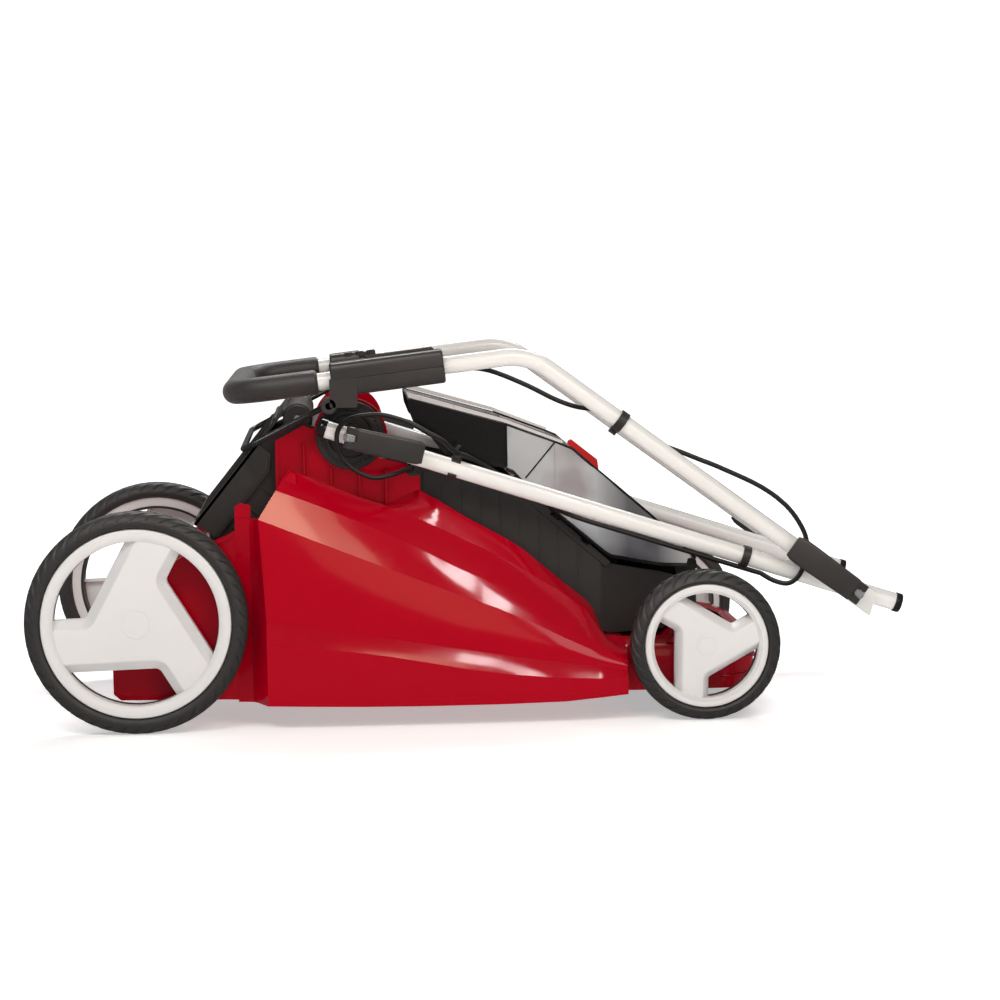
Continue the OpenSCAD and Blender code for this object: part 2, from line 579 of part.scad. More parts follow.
// The whole handle from one flattened end to the other
module handle_sweep(r, from) {
  for (s = [-1, 1]) {
    translate([0, s * upper_tube_y, 0]) along(up_pivot, 180 - arm_rise) translate([from, 0, 0])
      rotate([0, 90, 0]) cylinder(r = r, h = arm_len - from - bend_cut + seam);
    translate([0, s * upper_tube_y, 0]) along(bend_at, -arm_rise) translate([bend_cut, 0, -bend_r])
      rotate([90, 0, 0]) rotate(90) bend(bend_r, bend_turn, r);
  }
  grip_sweep(r, bend_cut - seam);
}
flat_t = 9;
flat_w = 27;
module flat_end(s) translate([0, s * (upper_tube_y - tube_r + flat_t / 2), 0])
  along(up_pivot, 180 - arm_rise) rotate([90, 0, 0]) linear_extrude(flat_t, center = true)
    polygon([[-34, -4], [-26, -flat_w / 2], [36, -flat_w / 2], [flat_len + 6, -tube_r + 2],
             [flat_len + 6, tube_r - 2], [36, flat_w / 2], [-18, flat_w / 2]]);
module upper_handle_tube() color("#d9d7d2") place() difference() {
  union() {
    handle_sweep(tube_r, flat_len);
    for (s = [-1, 1]) flat_end(s);
  }
  handle_sweep(bore_r, flat_len + 8);
  for (s = [-1, 1]) bar_y(up_pivot, bolt_d / 2, s * 220 - 30, s * 220 + 30);
}
foam_start = 236;
module foam_grip() color("#2e2c2b") place() difference() {
  grip_sweep(foam_d / 2, foam_start);
  grip_sweep(tube_r, foam_start - 5);
}

// Switch housing around the right arm; two half shells that part along the arm
housing_from = 95;
housing_to = 222;
shell_h = 19;
bail_pin = [220, 364];
button_at = 190;
button_r = 7;
bail_rod_r = 3.5;
module shell_half(up) grip_frame() translate([housing_from, -upper_tube_y, 0]) difference() {
  translate([0, -20, up ? -shell_h : 0.2]) cube([housing_to - housing_from, 40, shell_h - 0.2]);
  rotate([0, 90, 0]) translate([0, 0, -1]) cylinder(r = tube_r, h = 200);
  translate([button_at - housing_from, 14, 8]) rotate([-90, 0, 0]) cylinder(r = button_r + 0.3, h = 10);
}
module start_bail() color("#232222") place() {
  for (s = [-1, 1]) bar_y(bail_pin, bail_rod_r + 0.4, s * 200 - 10, s * 200 + 10);
  along(bail_pin, 180 + bail_drop) {
    for (s = [-1, 1]) {
      translate([-2, s * bail_y, 0]) rotate([0, 90, 0])
        cylinder(r = bail_rod_r, h = bail_len - bail_corner_r + 2 + seam);
      translate([bail_len - bail_corner_r, s * (bail_y - bail_corner_r), 0]) rotate(s > 0 ? 0 : -90)
        bend(bail_corner_r, 90, bail_rod_r);
    }
    translate([bail_len, bail_y - bail_corner_r + seam, 0]) rotate([90, 0, 0])
      cylinder(r = bail_rod_r, h = 2 * (bail_y - bail_corner_r + seam));
  }
}
bail_corner_r = 16;
bail_y = 188;
bail_len = 109;
bail_drop = 26.8;
module bail_boss(y0, y1) difference() {
  union() {
    bar_y(bail_pin, 9, y0, y1);
    plate_y(y0, y1) polygon([[221, 362], [221, 380], [252, 380], [252, 362]]);
  }
  bar_y(bail_pin, bail_rod_r + 0.4 + running, -300, 300);
}
module switch_housing_top() color("#2e2c2b") place() shell_half(true);
module switch_housing_bottom() color("#2e2c2b") place() union() {
  shell_half(false);
  bail_boss(-231, -192.5);
}
module bail_bracket_left() color("#2e2c2b") place() {
  bail_boss(192.5, 231);
  grip_frame() translate([184, upper_tube_y, 0]) difference() {
    translate([0, -16, -15]) cube([38, 32, 30]);
    rotate([0, 90, 0]) translate([0, 0, -1]) cylinder(r = tube_r, h = 60);
  }
}
module safety_button() color("firebrick") place() grip_frame()
  translate([button_at, -upper_tube_y + 17.5, 8]) rotate([-90, 0, 0]) cylinder(r = button_r, h = 7);
module upper_bolts() color("silver") place() for (s = [-1, 1]) scale([1, s, 1])
  translate([up_pivot[0], 0, up_pivot[1]]) {
    cam_bolt(-lower_tube_y + tube_r + 7, upper_pin_y, 180 - arm_rise);
    translate([0, -lower_tube_y - tube_r - 0.1, 0]) rotate([90, 0, 0]) difference() {
      cylinder(r = 11, h = spacer - 0.1);
      translate([0, 0, -1]) cylinder(r = bolt_d / 2, h = 20);
    }
    // Washer between the flattened end and the cam
    translate([0, -upper_tube_y + tube_r - flat_t, 0]) rotate([90, 0, 0]) difference() {
      cylinder(r = 9, h = 12);
      translate([0, 0, -1]) cylinder(r = bolt_d / 2, h = 20);
    }
  }
module upper_cable_clip() color("#232222") place() translate([0, -upper_tube_y, 0])
  along(up_pivot, 180 - arm_rise) translate([331, 0, 0]) clip_ring(10, [0, upper_tube_y + cable_gap_y]);

// ---- cable, one run in four stretches ----
cable_gap_y = -197.6;
loop_y = -199.5;
deck_loop = [[312, -178, 289], [304, -188, 288], [290, -197, 284], [270, loop_y, 281], [253, loop_y, 287],
             [239, loop_y, 298], [231, loop_y, 311], [228, loop_y, 324], [230, loop_y, 336],
             [238, loop_y, 345], [251, loop_y, 350], [276, loop_y, 352], [297, loop_y, 347],
             [314, loop_y, 340], [329.9, loop_y, 330.7]];
lower_run = [[331, loop_y, 330], [347, -197, 321], [361, -190, 308], [378, -181, 300], [398, -172, 288],
             [424, -169, 270], [452, -171, 251], [478, -176, 238], [505, -184, 227.4], [560, -184, 209.4],
             [615, -184, 191.4], [670, -184, 173.4], [708, -184, 161.2], [722, -187, 153],
             [737, -194, 150], [748.2, cable_gap_y, 157]];
joint_loop = [[749.6, cable_gap_y, 160.4], [757, cable_gap_y, 176], [759, cable_gap_y, 197],
              [752, cable_gap_y, 217],
              [735, cable_gap_y, 240], [706, cable_gap_y, 262], [661, cable_gap_y, 284],
              [637, cable_gap_y, 294], [614.6, cable_gap_y, 303.4], [595.3, cable_gap_y, 310.7],
              [581.2, cable_gap_y, 317.1], [568, cable_gap_y, 324.3]];
upper_run = [[568, cable_gap_y, 324.3], [555.7, cable_gap_y, 332.9], [546.9, cable_gap_y, 339.5],
             [538.1, cable_gap_y, 346.1], [524, cable_gap_y, 352.5], [500, cable_gap_y, 356],
             [475, cable_gap_y, 365], [440, cable_gap_y, 383], [401, cable_gap_y, 399],
             [370, cable_gap_y, 403], [349.5, cable_gap_y, 402]];
module cable_gland() color("#232222") place() {
  translate([312, -178, 289]) rotate([0, 0, 55]) rotate([0, 90, 0]) cylinder(r1 = 4, r2 = 7, h = 14);
  translate([308, -170, 280]) cube([14, 16, 16]);
}

deck_shell();
color("#a3001b") place() handle_bracket();  // handle_bracket_right
color("#a3001b") place() leftward() handle_bracket();  // handle_bracket_left
color("#232222") place() pivot_drum();  // pivot_drum_right
color("#232222") place() leftward() pivot_drum();  // pivot_drum_left
discharge_chute();
motor_housing();
motor();
battery_tray();
control_board();
color("#3a3836") place() leftward() battery_pack();  // battery_pack_right
color("#3a3836") place() battery_pack();  // battery_pack_left
key_socket();
safety_key();
rear_axle();
front_axle();
axle_clamps();
flap_rod();
cable_gland();
housing_screws();
color("#181818") place() cord(deck_loop, cable_d);  // cable_deck_loop
motor_shaft();
blade_carrier();
blade();
blade_bolt();
color("#232222") rear_wheel_place(-1) rear_tyre();  // rear_tyre_right
color("#cfcdca") rear_wheel_place(-1) rear_rim();  // rear_rim_right
color("#232222") rear_wheel_place(1) leftward() rear_tyre();  // rear_tyre_left
color("#cfcdca") rear_wheel_place(1) leftward() rear_rim();  // rear_rim_left
color("#232222") front_wheel_place(-1) front_tyre();  // front_tyre_right
color("#cfcdca") front_wheel_place(-1) front_rim();  // front_rim_right
color("#232222") front_wheel_place(1) leftward() front_tyre();  // front_tyre_left
color("#cfcdca") front_wheel_place(1) leftward() front_rim();  // front_rim_left
rear_flap();
cover_frame();
cover_window();
cover_trim();
color("#d9d7d2") place() lower_tube(running);  // lower_tube_right
color("#d9d7d2") place() leftward() lower_tube(0.5);  // lower_tube_left
color("#232222") place() tube_caps();  // tube_caps_right
color("#232222") place() leftward() tube_caps();  // tube_caps_left
lower_cable_clips();
color("silver") place() lower_bolt();  // lower_bolt_right
color("silver") place() leftward() lower_bolt();  // lower_bolt_left
color("#181818") place() cord(lower_run, cable_d);  // cable_lower_run
color("#2e2c2b") place() lower_lever();  // lower_lever_right
color("#2e2c2b") place() leftward() lower_lever();  // lower_lever_left
upper_handle_tube();
foam_grip();
switch_housing_top();
switch_housing_bottom();
bail_bracket_left();
upper_bolts();
upper_cable_clip();
color("#181818") place() cord(joint_loop, cable_d);  // cable_joint_loop
color("#181818") place() cord(upper_run, cable_d);  // cable_upper_run
color("#2e2c2b") place() upper_lever();  // upper_lever_right
color("#2e2c2b") place() leftward() upper_lever();  // upper_lever_left
start_bail();
safety_button();
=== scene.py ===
import json
import math

import bmesh
import bpy
from mathutils import Matrix, Vector


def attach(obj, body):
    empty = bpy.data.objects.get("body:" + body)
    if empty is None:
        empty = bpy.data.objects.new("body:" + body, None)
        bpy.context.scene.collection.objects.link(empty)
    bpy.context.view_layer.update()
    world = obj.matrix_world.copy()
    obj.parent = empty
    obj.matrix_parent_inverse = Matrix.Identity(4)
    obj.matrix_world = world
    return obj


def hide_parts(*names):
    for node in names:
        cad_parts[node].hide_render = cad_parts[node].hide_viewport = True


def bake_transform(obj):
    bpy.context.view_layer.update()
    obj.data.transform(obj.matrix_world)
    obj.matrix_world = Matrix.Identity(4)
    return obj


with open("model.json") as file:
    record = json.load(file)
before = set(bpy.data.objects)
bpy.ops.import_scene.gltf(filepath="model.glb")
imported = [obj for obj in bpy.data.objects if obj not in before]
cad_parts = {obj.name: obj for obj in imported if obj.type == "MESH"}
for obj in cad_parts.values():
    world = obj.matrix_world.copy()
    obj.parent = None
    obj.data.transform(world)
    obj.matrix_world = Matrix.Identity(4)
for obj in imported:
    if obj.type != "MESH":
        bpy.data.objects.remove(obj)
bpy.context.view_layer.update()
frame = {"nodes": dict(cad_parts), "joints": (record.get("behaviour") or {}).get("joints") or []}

# Lengths below are millimetres from the rear axle: X forward, Y to the mower's left, Z up from the floor.
MM = 0.001
JOINTS = {joint["name"]: joint for joint in frame["joints"]}


def joint_at(name):
    """A joint's place, in metres in the frame."""
    return Vector(JOINTS[name]["pos_m"])


AXLE_X = joint_at("rear_wheel_right_spin").x


def spot(x, y, z):
    """A place measured from the rear axle, as metres in the frame."""
    return Vector((AXLE_X + x * MM, y * MM, z * MM))


def measured(name):
    """A joint's place as millimetres from the rear axle."""
    place = joint_at(name) / MM
    return place.x - AXLE_X / MM, place.y, place.z


REAR_HUB = measured("rear_wheel_right_spin")
FRONT_HUB = measured("front_wheel_right_spin")
LOW_PIVOT = measured("lower_handle_right_fold")
UP_PIVOT = measured("upper_handle_fold")
BAIL_PIN = measured("bail_pull")
FLAP_PIN = measured("flap_lift")
COVER_PIN = measured("battery_cover_open")
TUBE_R = 10
ARM_Y = 211
LOWER_Y = -LOW_PIVOT[1]


# ---------------------------------------------------------------- shapes
def turned(vector, angle, axis):
    return Matrix.Rotation(math.radians(angle), 3, axis) @ Vector(vector)


def smooth_line(points, steps):
    """A Catmull-Rom curve through the points, with so many steps between neighbours."""
    points = [Vector(p) for p in points]
    last = len(points) - 1
    out = []
    for i in range(last):
        before, after = points[max(i - 1, 0)], points[min(i + 2, last)]
        a, b = points[i], points[i + 1]
        for k in range(steps):
            t = k / steps
            out.append(0.5 * (2 * a + (b - before) * t + (2 * before - 5 * a + 4 * b - after) * t * t
                              + (3 * a - before - 3 * b + after) * t ** 3))
    return out + [points[last]]


def rounded(points, radius, steps=5):
    """A closed outline with rounded corners. A corner may carry its own radius as a third number."""
    out = []
    for i, corner in enumerate(points):
        own = corner[2] if len(corner) > 2 else radius
        here = Vector(corner[:2])
        back = Vector(points[i - 1][:2]) - here
        ahead = Vector(points[(i + 1) % len(points)][:2]) - here
        half = back.angle(ahead, math.pi) / 2
        reach = min(own / max(math.tan(half), 1e-6), 0.48 * back.length, 0.48 * ahead.length)
        if reach < 0.05 or half > math.radians(88):
            out.append(here)
            continue
        start, end = here + back.normalized() * reach, here + ahead.normalized() * reach
        for k in range(steps + 1):
            t = k / steps
            out.append(start.lerp(here, t).lerp(here.lerp(end, t), t))
    return out


def level(profile, x):
    """Height of a profile at x."""
    for (xa, za), (xb, zb) in zip(profile, profile[1:]):
        if x <= xb:
            return za + (zb - za) * (x - xa) / (xb - xa) if x > xa else za
    return profile[-1][1]


def arc(radius, start, end, steps):
    """Points on an arc about the origin, angles in degrees."""
    angles = [math.radians(start + (end - start) * k / steps) for k in range(steps + 1)]
    return [Vector((radius * math.cos(a), radius * math.sin(a))) for a in angles]


def circle(radius, sides):
    """The points of a round section."""
    return arc(radius, 0, 360 - 360 / sides, sides - 1)


def pad(across, up, radius, steps=5):
    """A rounded rectangle about the origin, from half its width and half its height."""
    return rounded([(-across, -up), (across, -up), (across, up), (-across, up)], radius, steps)


def upright(x, half, low, high, radius):
    """A thin upright rib in side view."""
    return rounded([(x - half, low), (x + half, low), (x + half, high), (x - half, high)], radius)


def mirrored(points):
    """A right half path as it goes on over the left side, last point first."""
    return [Vector((p.x, -p.y, p.z)) for p in reversed(points)]


def wraps(size, count, closed=False):
    """Faces between neighbouring rings of so many points each. Closed joins the last ring to the first."""
    return [(i * size + k, i * size + (k + 1) % size,
             (i + 1) % count * size + (k + 1) % size, (i + 1) % count * size + k)
            for i in range(count if closed else count - 1) for k in range(size)]


class Shape:
    """Closed surfaces in millimetres from the rear axle, which become one mesh piece."""

    def __init__(self):
        self.verts = []
        self.faces = []
        self.ridges = []

    def add(self, verts, faces, ridges=()):
        start = len(self.verts)
        self.verts += [Vector(v) for v in verts]
        self.faces += [[start + i for i in face] for face in faces]
        self.ridges += [(start + a, start + b) for a, b in ridges]
        return self

    def loft(self, rings, closed=False):
        """A skin over rings of points, with its ends capped unless it closes on itself."""
        n, m = len(rings[0]), len(rings)
        faces = wraps(n, m, closed)
        if not closed:
            faces += [tuple(reversed(range(n))), tuple((m - 1) * n + k for k in range(n))]
        return self.add([p for ring in rings for p in ring], faces)

    def prism(self, outline, y0, y1):
        """An outline in side view, X and Z, made as thick as from y0 to y1."""
        return self.loft([[(x, y, z) for x, z in outline] for y in (y0, y1)])

    def plate(self, outline, middle, half):
        """An outline in side view, as thick as half to either side of its middle along Y."""
        return self.prism(outline, middle - half, middle + half)

    def lathe(self, profile, centre, steps=64):
        """A profile of (radius, along Y) turned about the Y axis through the centre."""
        rings = []
        for k in range(steps):
            angle = 2 * math.pi * k / steps
            c, s = math.cos(angle), math.sin(angle)
            rings.append([(centre[0] + r * c, centre[1] + along, centre[2] + r * s) for r, along in profile])
        return self.loft(rings, closed=True)

    def sweep(self, path, section, normal=(0, 1, 0)):
        """A section moved along a path. section(i) gives points (across, up) at ring i."""
        path = [Vector(p) for p in path]
        rings = []
        up = Vector(normal)
        if abs(up.dot((path[1] - path[0]).normalized())) > 0.9:
            up = Vector((0, 0, 1))
        for i, p in enumerate(path):
            ahead = (path[min(i + 1, len(path) - 1)] - path[max(i - 1, 0)]).normalized()
            across = up.cross(ahead).normalized()
            up = ahead.cross(across).normalized()
            rings.append([p + across * a + up * b for a, b in section(i)])
        return self.loft(rings)

    def rod(self, path, radius, sides=20, end=0.0):
        """A round bar along a path, with its ends rounded off over a length."""
        path = [Vector(p) for p in path]
        if end:
            first, last = path[0], path[-1]
            tail = (path[0] - path[1]).normalized()
            nose = (path[-1] - path[-2]).normalized()
            caps = [(1.0, 0.3), (0.87, 0.72), (0.5, 0.93)]
            path = ([first + tail * end * (a - 1) for a, _ in caps] + [first - tail * end * 1.05] + path[1:-1]
                    + [last - nose * end * 1.05] + [last + nose * end * (a - 1) for a, _ in reversed(caps)])
            scale = [b for _, b in caps] + [1.0] * (len(path) - 6) + [b for _, b in reversed(caps)]
        else:
            scale = [1.0] * len(path)
        ring = circle(radius, sides)
        return self.sweep(path, lambda i: [p * scale[i] for p in ring])

    def pipe(self, path, radius, bore, sides=40):
        """A hollow round tube along a straight or bent path."""
        outer = Shape().sweep(path, lambda i: circle(radius, sides))
        inner = Shape().sweep(path, lambda i: circle(bore, sides))
        n, m = sides, len(path)
        faces = []
        for a, b, c, d in wraps(n, m):
            faces += [(a, b, c, d), (a + n * m, d + n * m, c + n * m, b + n * m)]
        for i in (0, m - 1):
            for k in range(n):
                a, b = i * n + k, i * n + (k + 1) % n
                faces.append((a, a + n * m, b + n * m, b))
        return self.add(outer.verts + inner.verts, faces)

    def skin(self, rows, offset):
        """A sheet over rows of points, as thick as the offset."""
        n, m = len(rows[0]), len(rows)
        front = [Vector(p) for row in rows for p in row]
        back = [p + Vector(offset) for p in front]
        total = n * m
        faces = []
        for i in range(m - 1):
            for k in range(n - 1):
                a, b, c, d = i * n + k, i * n + k + 1, (i + 1) * n + k + 1, (i + 1) * n + k
                faces += [(a, b, c, d), (a + total, d + total, c + total, b + total)]
        rim = ([k for k in range(n)] + [i * n + n - 1 for i in range(1, m)]
               + [(m - 1) * n + k for k in range(n - 2, -1, -1)] + [i * n for i in range(m - 2, 0, -1)])
        for i, a in enumerate(rim):
            b = rim[(i + 1) % len(rim)]
            faces.append((a, a + total, b + total, b))
        return self.add(front + back, faces)

    def moved(self, change):
        """The same shape with every point passed through a function."""
        return Shape().add([change(v) for v in self.verts], self.faces, self.ridges)

    def left(self):
        """The copy on the mower's left side."""
        flipped = [(v.x, -v.y, v.z) for v in self.verts]
        return Shape().add(flipped, [list(reversed(face)) for face in self.faces], self.ridges)

    def also(self, other):
        return self.add(other.verts, other.faces, other.ridges)

    def both(self, other):
        """Another shape and its copy on the left side."""
        return self.also(other).also(other.left())

    def make(self, name, body, material, slot, nodes=(), bevel=0.0, segments=3, angle=28):
        """The mesh piece. Edges sharper than the angle, and the ridges, get a bevel in millimetres."""
        mesh = bpy.data.meshes.new(name)
        mesh.from_pydata([spot(*v) for v in self.verts], [], self.faces)
        work = bmesh.new()
        work.from_mesh(mesh)
        work.verts.ensure_lookup_table()
        marked = {frozenset(pair) for pair in self.ridges}
        bmesh.ops.recalc_face_normals(work, faces=work.faces)
        weight = work.edges.layers.float.new("bevel_weight_edge")
        for edge in work.edges:
            turn = edge.calc_face_angle(0.0) if len(edge.link_faces) == 2 else 0.0
            sharp = turn > math.radians(angle) or frozenset(v.index for v in edge.verts) in marked
            edge[weight] = 1.0 if sharp and bevel else 0.0
            edge.smooth = not (turn > math.radians(angle) and not bevel)
        for face in work.faces:
            face.smooth = True
        work.to_mesh(mesh)
        work.free()
        piece = bpy.data.objects.new(name, mesh)
        bpy.context.scene.collection.objects.link(piece)
        if bevel:
            edge_round = piece.modifiers.new("edges", "BEVEL")
            edge_round.limit_method = "WEIGHT"
            edge_round.width = bevel * MM
            edge_round.segments = segments
            edge_round.harden_normals = True
        mesh.materials.append(material)
        if isinstance(body, str):
            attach(piece, body)
        if nodes:
            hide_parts(*([nodes] if isinstance(nodes, str) else nodes))
        return piece


def both_sides(*pieces):
    """Makes the pieces on the right and then on the left; {} in their names stands for the side."""
    for side in ("right", "left"):
        for shape, name, body, material, slot, node, bevel, angle in pieces:
            copy = shape if side == "right" else shape.left()
            copy.make(name.format(side), body.format(side), material, slot, node.format(side), bevel=bevel,
                      angle=angle)


# ---------------------------------------------------------------- materials
def surface(name, colour, roughness, drift=0.08, drift_size=25, uneven=0.06, grain=0.15, grain_size=1400,
            dust=0.0, **sockets):
    """A moulded, painted or plated finish: colour and gloss that drift a little over a fine grain."""
    material = bpy.data.materials.new(name)
    material.use_nodes = True
    nodes, links = material.node_tree.nodes, material.node_tree.links
    shader = nodes["Principled BSDF"]
    for socket, value in sockets.items():
        shader.inputs[socket.replace("_", " ")].default_value = value
    place = nodes.new("ShaderNodeTexCoord")

    def noise(scale, detail):
        node = nodes.new("ShaderNodeTexNoise")
        node.inputs["Scale"].default_value = scale
        node.inputs["Detail"].default_value = detail
        links.new(place.outputs["Object"], node.inputs["Vector"])
        return node.outputs["Fac"]

    tint = nodes.new("ShaderNodeMix")
    tint.data_type = "RGBA"
    tint.inputs[6].default_value = [c * (1 - drift) for c in colour] + [1]
    tint.inputs[7].default_value = [min(1, c * (1 + drift) + dust) for c in colour] + [1]
    links.new(noise(drift_size, 4), tint.inputs[0])
    links.new(tint.outputs[2], shader.inputs["Base Color"])
    gloss = nodes.new("ShaderNodeMapRange")
    gloss.inputs["From Min"].default_value = 0.3
    gloss.inputs["From Max"].default_value = 0.7
    gloss.inputs["To Min"].default_value = max(0.0, roughness - uneven)
    gloss.inputs["To Max"].default_value = roughness + uneven
    links.new(noise(drift_size * 3.1, 5), gloss.inputs["Value"])
    links.new(gloss.outputs["Result"], shader.inputs["Roughness"])
    bump = nodes.new("ShaderNodeBump")
    bump.inputs["Strength"].default_value = grain
    bump.inputs["Distance"].default_value = 0.0003
    links.new(noise(grain_size, 2), bump.inputs["Height"])
    links.new(bump.outputs["Normal"], shader.inputs["Normal"])
    return material


def linear(red, green, blue):
    """A colour given as it looks on screen, 0 to 255."""
    return [((c / 255 + 0.055) / 1.055) ** 2.4 if c > 10 else c / 255 / 12.92 for c in (red, green, blue)]


RED = surface("moulded_red", linear(168, 0, 26), 0.11, drift=0.04, uneven=0.02, grain=0.02, grain_size=260,
              Specular_IOR_Level=0.2, Coat_Weight=0.2, Coat_Roughness=0.04)
BLACK = surface("moulded_black", linear(44, 41, 40), 0.42, drift=0.12, grain=0.25, grain_size=2200,
                dust=0.001)
SATIN = surface("satin_black", linear(50, 47, 46), 0.36, drift=0.1, grain=0.1, grain_size=1500)
GLOSS_BLACK = surface("gloss_black", linear(26, 24, 24), 0.16, drift=0.08, grain=0.04, grain_size=600)
FOAM = surface("grip_foam", linear(50, 46, 45), 0.46, drift=0.1, drift_size=60, grain=0.5, grain_size=3200,
               Sheen_Weight=0.2, Sheen_Roughness=0.4)
TYRE = surface("tyre_rubber", linear(46, 44, 43), 0.52, drift=0.15, drift_size=40, grain=0.3, grain_size=1800,
               dust=0.002)
RIM = surface("rim_grey", linear(218, 217, 216), 0.38, drift=0.02, grain=0.05, grain_size=1800, uneven=0.04)
TUBE = surface("tube_paint", linear(226, 225, 221), 0.26, drift=0.015, uneven=0.02, grain=0.04,
               grain_size=2600, Coat_Weight=0.5, Coat_Roughness=0.12)
TRIM = surface("trim_silver", linear(226, 220, 218), 0.3, drift=0.02, uneven=0.03, grain=0.05, Metallic=0.1)
STEEL = surface("plated_steel", linear(206, 206, 208), 0.28, drift=0.06, drift_size=80, grain=0.08,
                Metallic=0.8)
DARK_STEEL = surface("blade_steel", linear(92, 94, 98), 0.4, drift=0.12, grain=0.2, Metallic=0.8)
ROD = surface("rod_black", linear(30, 28, 28), 0.3, drift=0.1, grain=0.15, grain_size=2400, Coat_Weight=0.2)
CABLE = surface("cable_sheath", linear(24, 23, 23), 0.45, drift=0.1, grain=0.15, grain_size=2600)
# The window's colour drifts in wide soft clouds, which are painted reflections.
SMOKED = surface("smoked_window", linear(196, 198, 200), 0.06, drift=0.22, drift_size=9, uneven=0.02,
                 grain=0.02, grain_size=200, Alpha=0.88, Coat_Weight=0.5, Coat_Roughness=0.03)
BOARD = surface("board_green", linear(24, 88, 48), 0.35, drift=0.15, drift_size=120, grain=0.2)
KEY = surface("key_yellow", linear(222, 178, 34), 0.3, drift=0.05, grain=0.1)
BUTTON = surface("button_red", linear(196, 30, 26), 0.24, drift=0.05, grain=0.05)
CAN = surface("motor_can", linear(70, 70, 72), 0.38, drift=0.1, grain=0.15, Metallic=0.7)
FLOOR = surface("floor", linear(246, 246, 246), 0.7, drift=0.01, drift_size=2, uneven=0.02, grain=0.02,
                grain_size=80, Emission_Color=(1, 1, 1, 1), Emission_Strength=0.42)


def painted_reflections(material, reflection_tint, dark_reflection_tint, reach):
    """Painted reflections in a surface's colour: soft clouds of one tint, and a darker band of another
    between two pairs of places along X.
    """
    nodes, links = material.node_tree.nodes, material.node_tree.links
    base = nodes["Principled BSDF"].inputs["Base Color"]
    place = nodes.new("ShaderNodeTexCoord")

    def ramp(source, low, high, most):
        node = nodes.new("ShaderNodeMapRange")
        node.inputs["From Min"].default_value = low
        node.inputs["From Max"].default_value = high
        node.inputs["To Max"].default_value = most
        links.new(source, node.inputs["Value"])
        return node.outputs["Result"]

    def mixed(colour, factor):
        node = nodes.new("ShaderNodeMix")
        node.data_type = "RGBA"
        links.new(base.links[0].from_socket, node.inputs[6])
        node.inputs[7].default_value = colour + [1]
        links.new(factor, node.inputs[0])
        links.new(node.outputs[2], base)

    # Soft clouds of painted reflection
    noise = nodes.new("ShaderNodeTexNoise")
    noise.inputs["Scale"].default_value = 17
    noise.inputs["Detail"].default_value = 2
    links.new(place.outputs["Object"], noise.inputs["Vector"])
    mixed(reflection_tint, ramp(noise.outputs["Fac"], 0.46, 0.66, 0.45))
    # A darker band of painted reflection between the two pairs of places along X
    split = nodes.new("ShaderNodeSeparateXYZ")
    links.new(place.outputs["Object"], split.inputs["Vector"])
    both = nodes.new("ShaderNodeMath")
    both.operation = "MULTIPLY"
    links.new(ramp(split.outputs["X"], reach[0], reach[1], 0.8), both.inputs[0])
    links.new(ramp(split.outputs["X"], reach[3], reach[2], 1), both.inputs[1])
    mixed(dark_reflection_tint, both.outputs["Value"])


# The window's painted reflections: soft reddish clouds, and a dark band over its front part.
painted_reflections(SMOKED, linear(128, 96, 102), linear(56, 58, 66), (0.150, 0.190, 0.225, 0.262))


def keep(node, material, bevel):
    """A CAD node whose shape is right: its edges are softened and it gets its material."""
    piece = frame["nodes"][node]
    piece.data.materials.clear()
    piece.data.materials.append(material)
    weld = piece.modifiers.new("weld", "WELD")
    weld.merge_threshold = 0.00001
    edge_round = piece.modifiers.new("edges", "BEVEL")
    edge_round.limit_method = "ANGLE"
    edge_round.angle_limit = math.radians(38)
    edge_round.width = bevel * MM
    edge_round.segments = 2
    edge_round.harden_normals = True


# ---------------------------------------------------------------- deck
DECK_WALL = 4
CHEEK_Y = 182
ROOF_Z = 122
NOSE_Z = 90
HUMP = 12
HEM = [(145, -222, 28), (175, -223, 27), (250, -224, 25), (320, -224, 24), (410, -224, 24), (480, -222, 25),
       (522, -218, 28), (552, -212, 30)]
BAND_LOW = [(145, -224, 98), (175, -226, 95), (265, -226, 85), (366, -226, 66), (416, -225, 58),
            (480, -223, 52), (522, -219, 50), (552, -213, 48)]
BAND_HIGH = [(145, -214, 121), (175, -215, 117), (266, -216, 104), (354, -216, 88), (414, -215, 78),
             (480, -213, 68), (522, -211, 62), (552, -208, 56)]
SIDE_CREASE = [(138, -203, 237), (190, -203, 216), (246, -203, 193), (365, -204, 146), (403, -205, 132),
               (440, -206, 116), (480, -208, 96), (522, -208, 76), (552, -206, 66)]
UPPER_CREASE = [(158, -189, 268), (200, -189, 252), (284, -188, 216), (363, -189, 175), (404, -190, 157),
                (440, -192, 139), (480, -196, 114), (522, -201, 86), (552, -203, 70)]
RIDGE = [(173, -171, 291), (247, -169, 259), (282, -168, 247), (317, -168, 232), (402, -168, 190),
         (437, -169, 171), (480, -172, 145), (507, -176, 124), (522, -182, 102), (534, -190, 85),
         (552, -196, 76)]
RIM_LINE = [(176, -154, 288), (195, -154, 279), (253, -154, 256), (283, -154, 247), (300, -154, 256),
            (321, -154, 263), (372, -154, 231),
            (432, -154, 197), (467, -154, 167), (499, -154, 141), (512, -155, 130), (520, -157, 118),
            (525, -159, 104), (531, -163, 92), (552, -170, NOSE_Z)]
# Places along X at which every line has a point, after its own first one
STATIONS = (190, 215, 250, 285, 320, 345, 365, 385, 404, 422, 440, 460, 480, 492, 500, 507, 513, 518, 522,
            526, 531, 540, 552)
# How far each panel between two lines swells outward
CROWN = [0.6, 0.2, 1.2, 0.3, 0.2, 0.3, 0.0, 0.0]


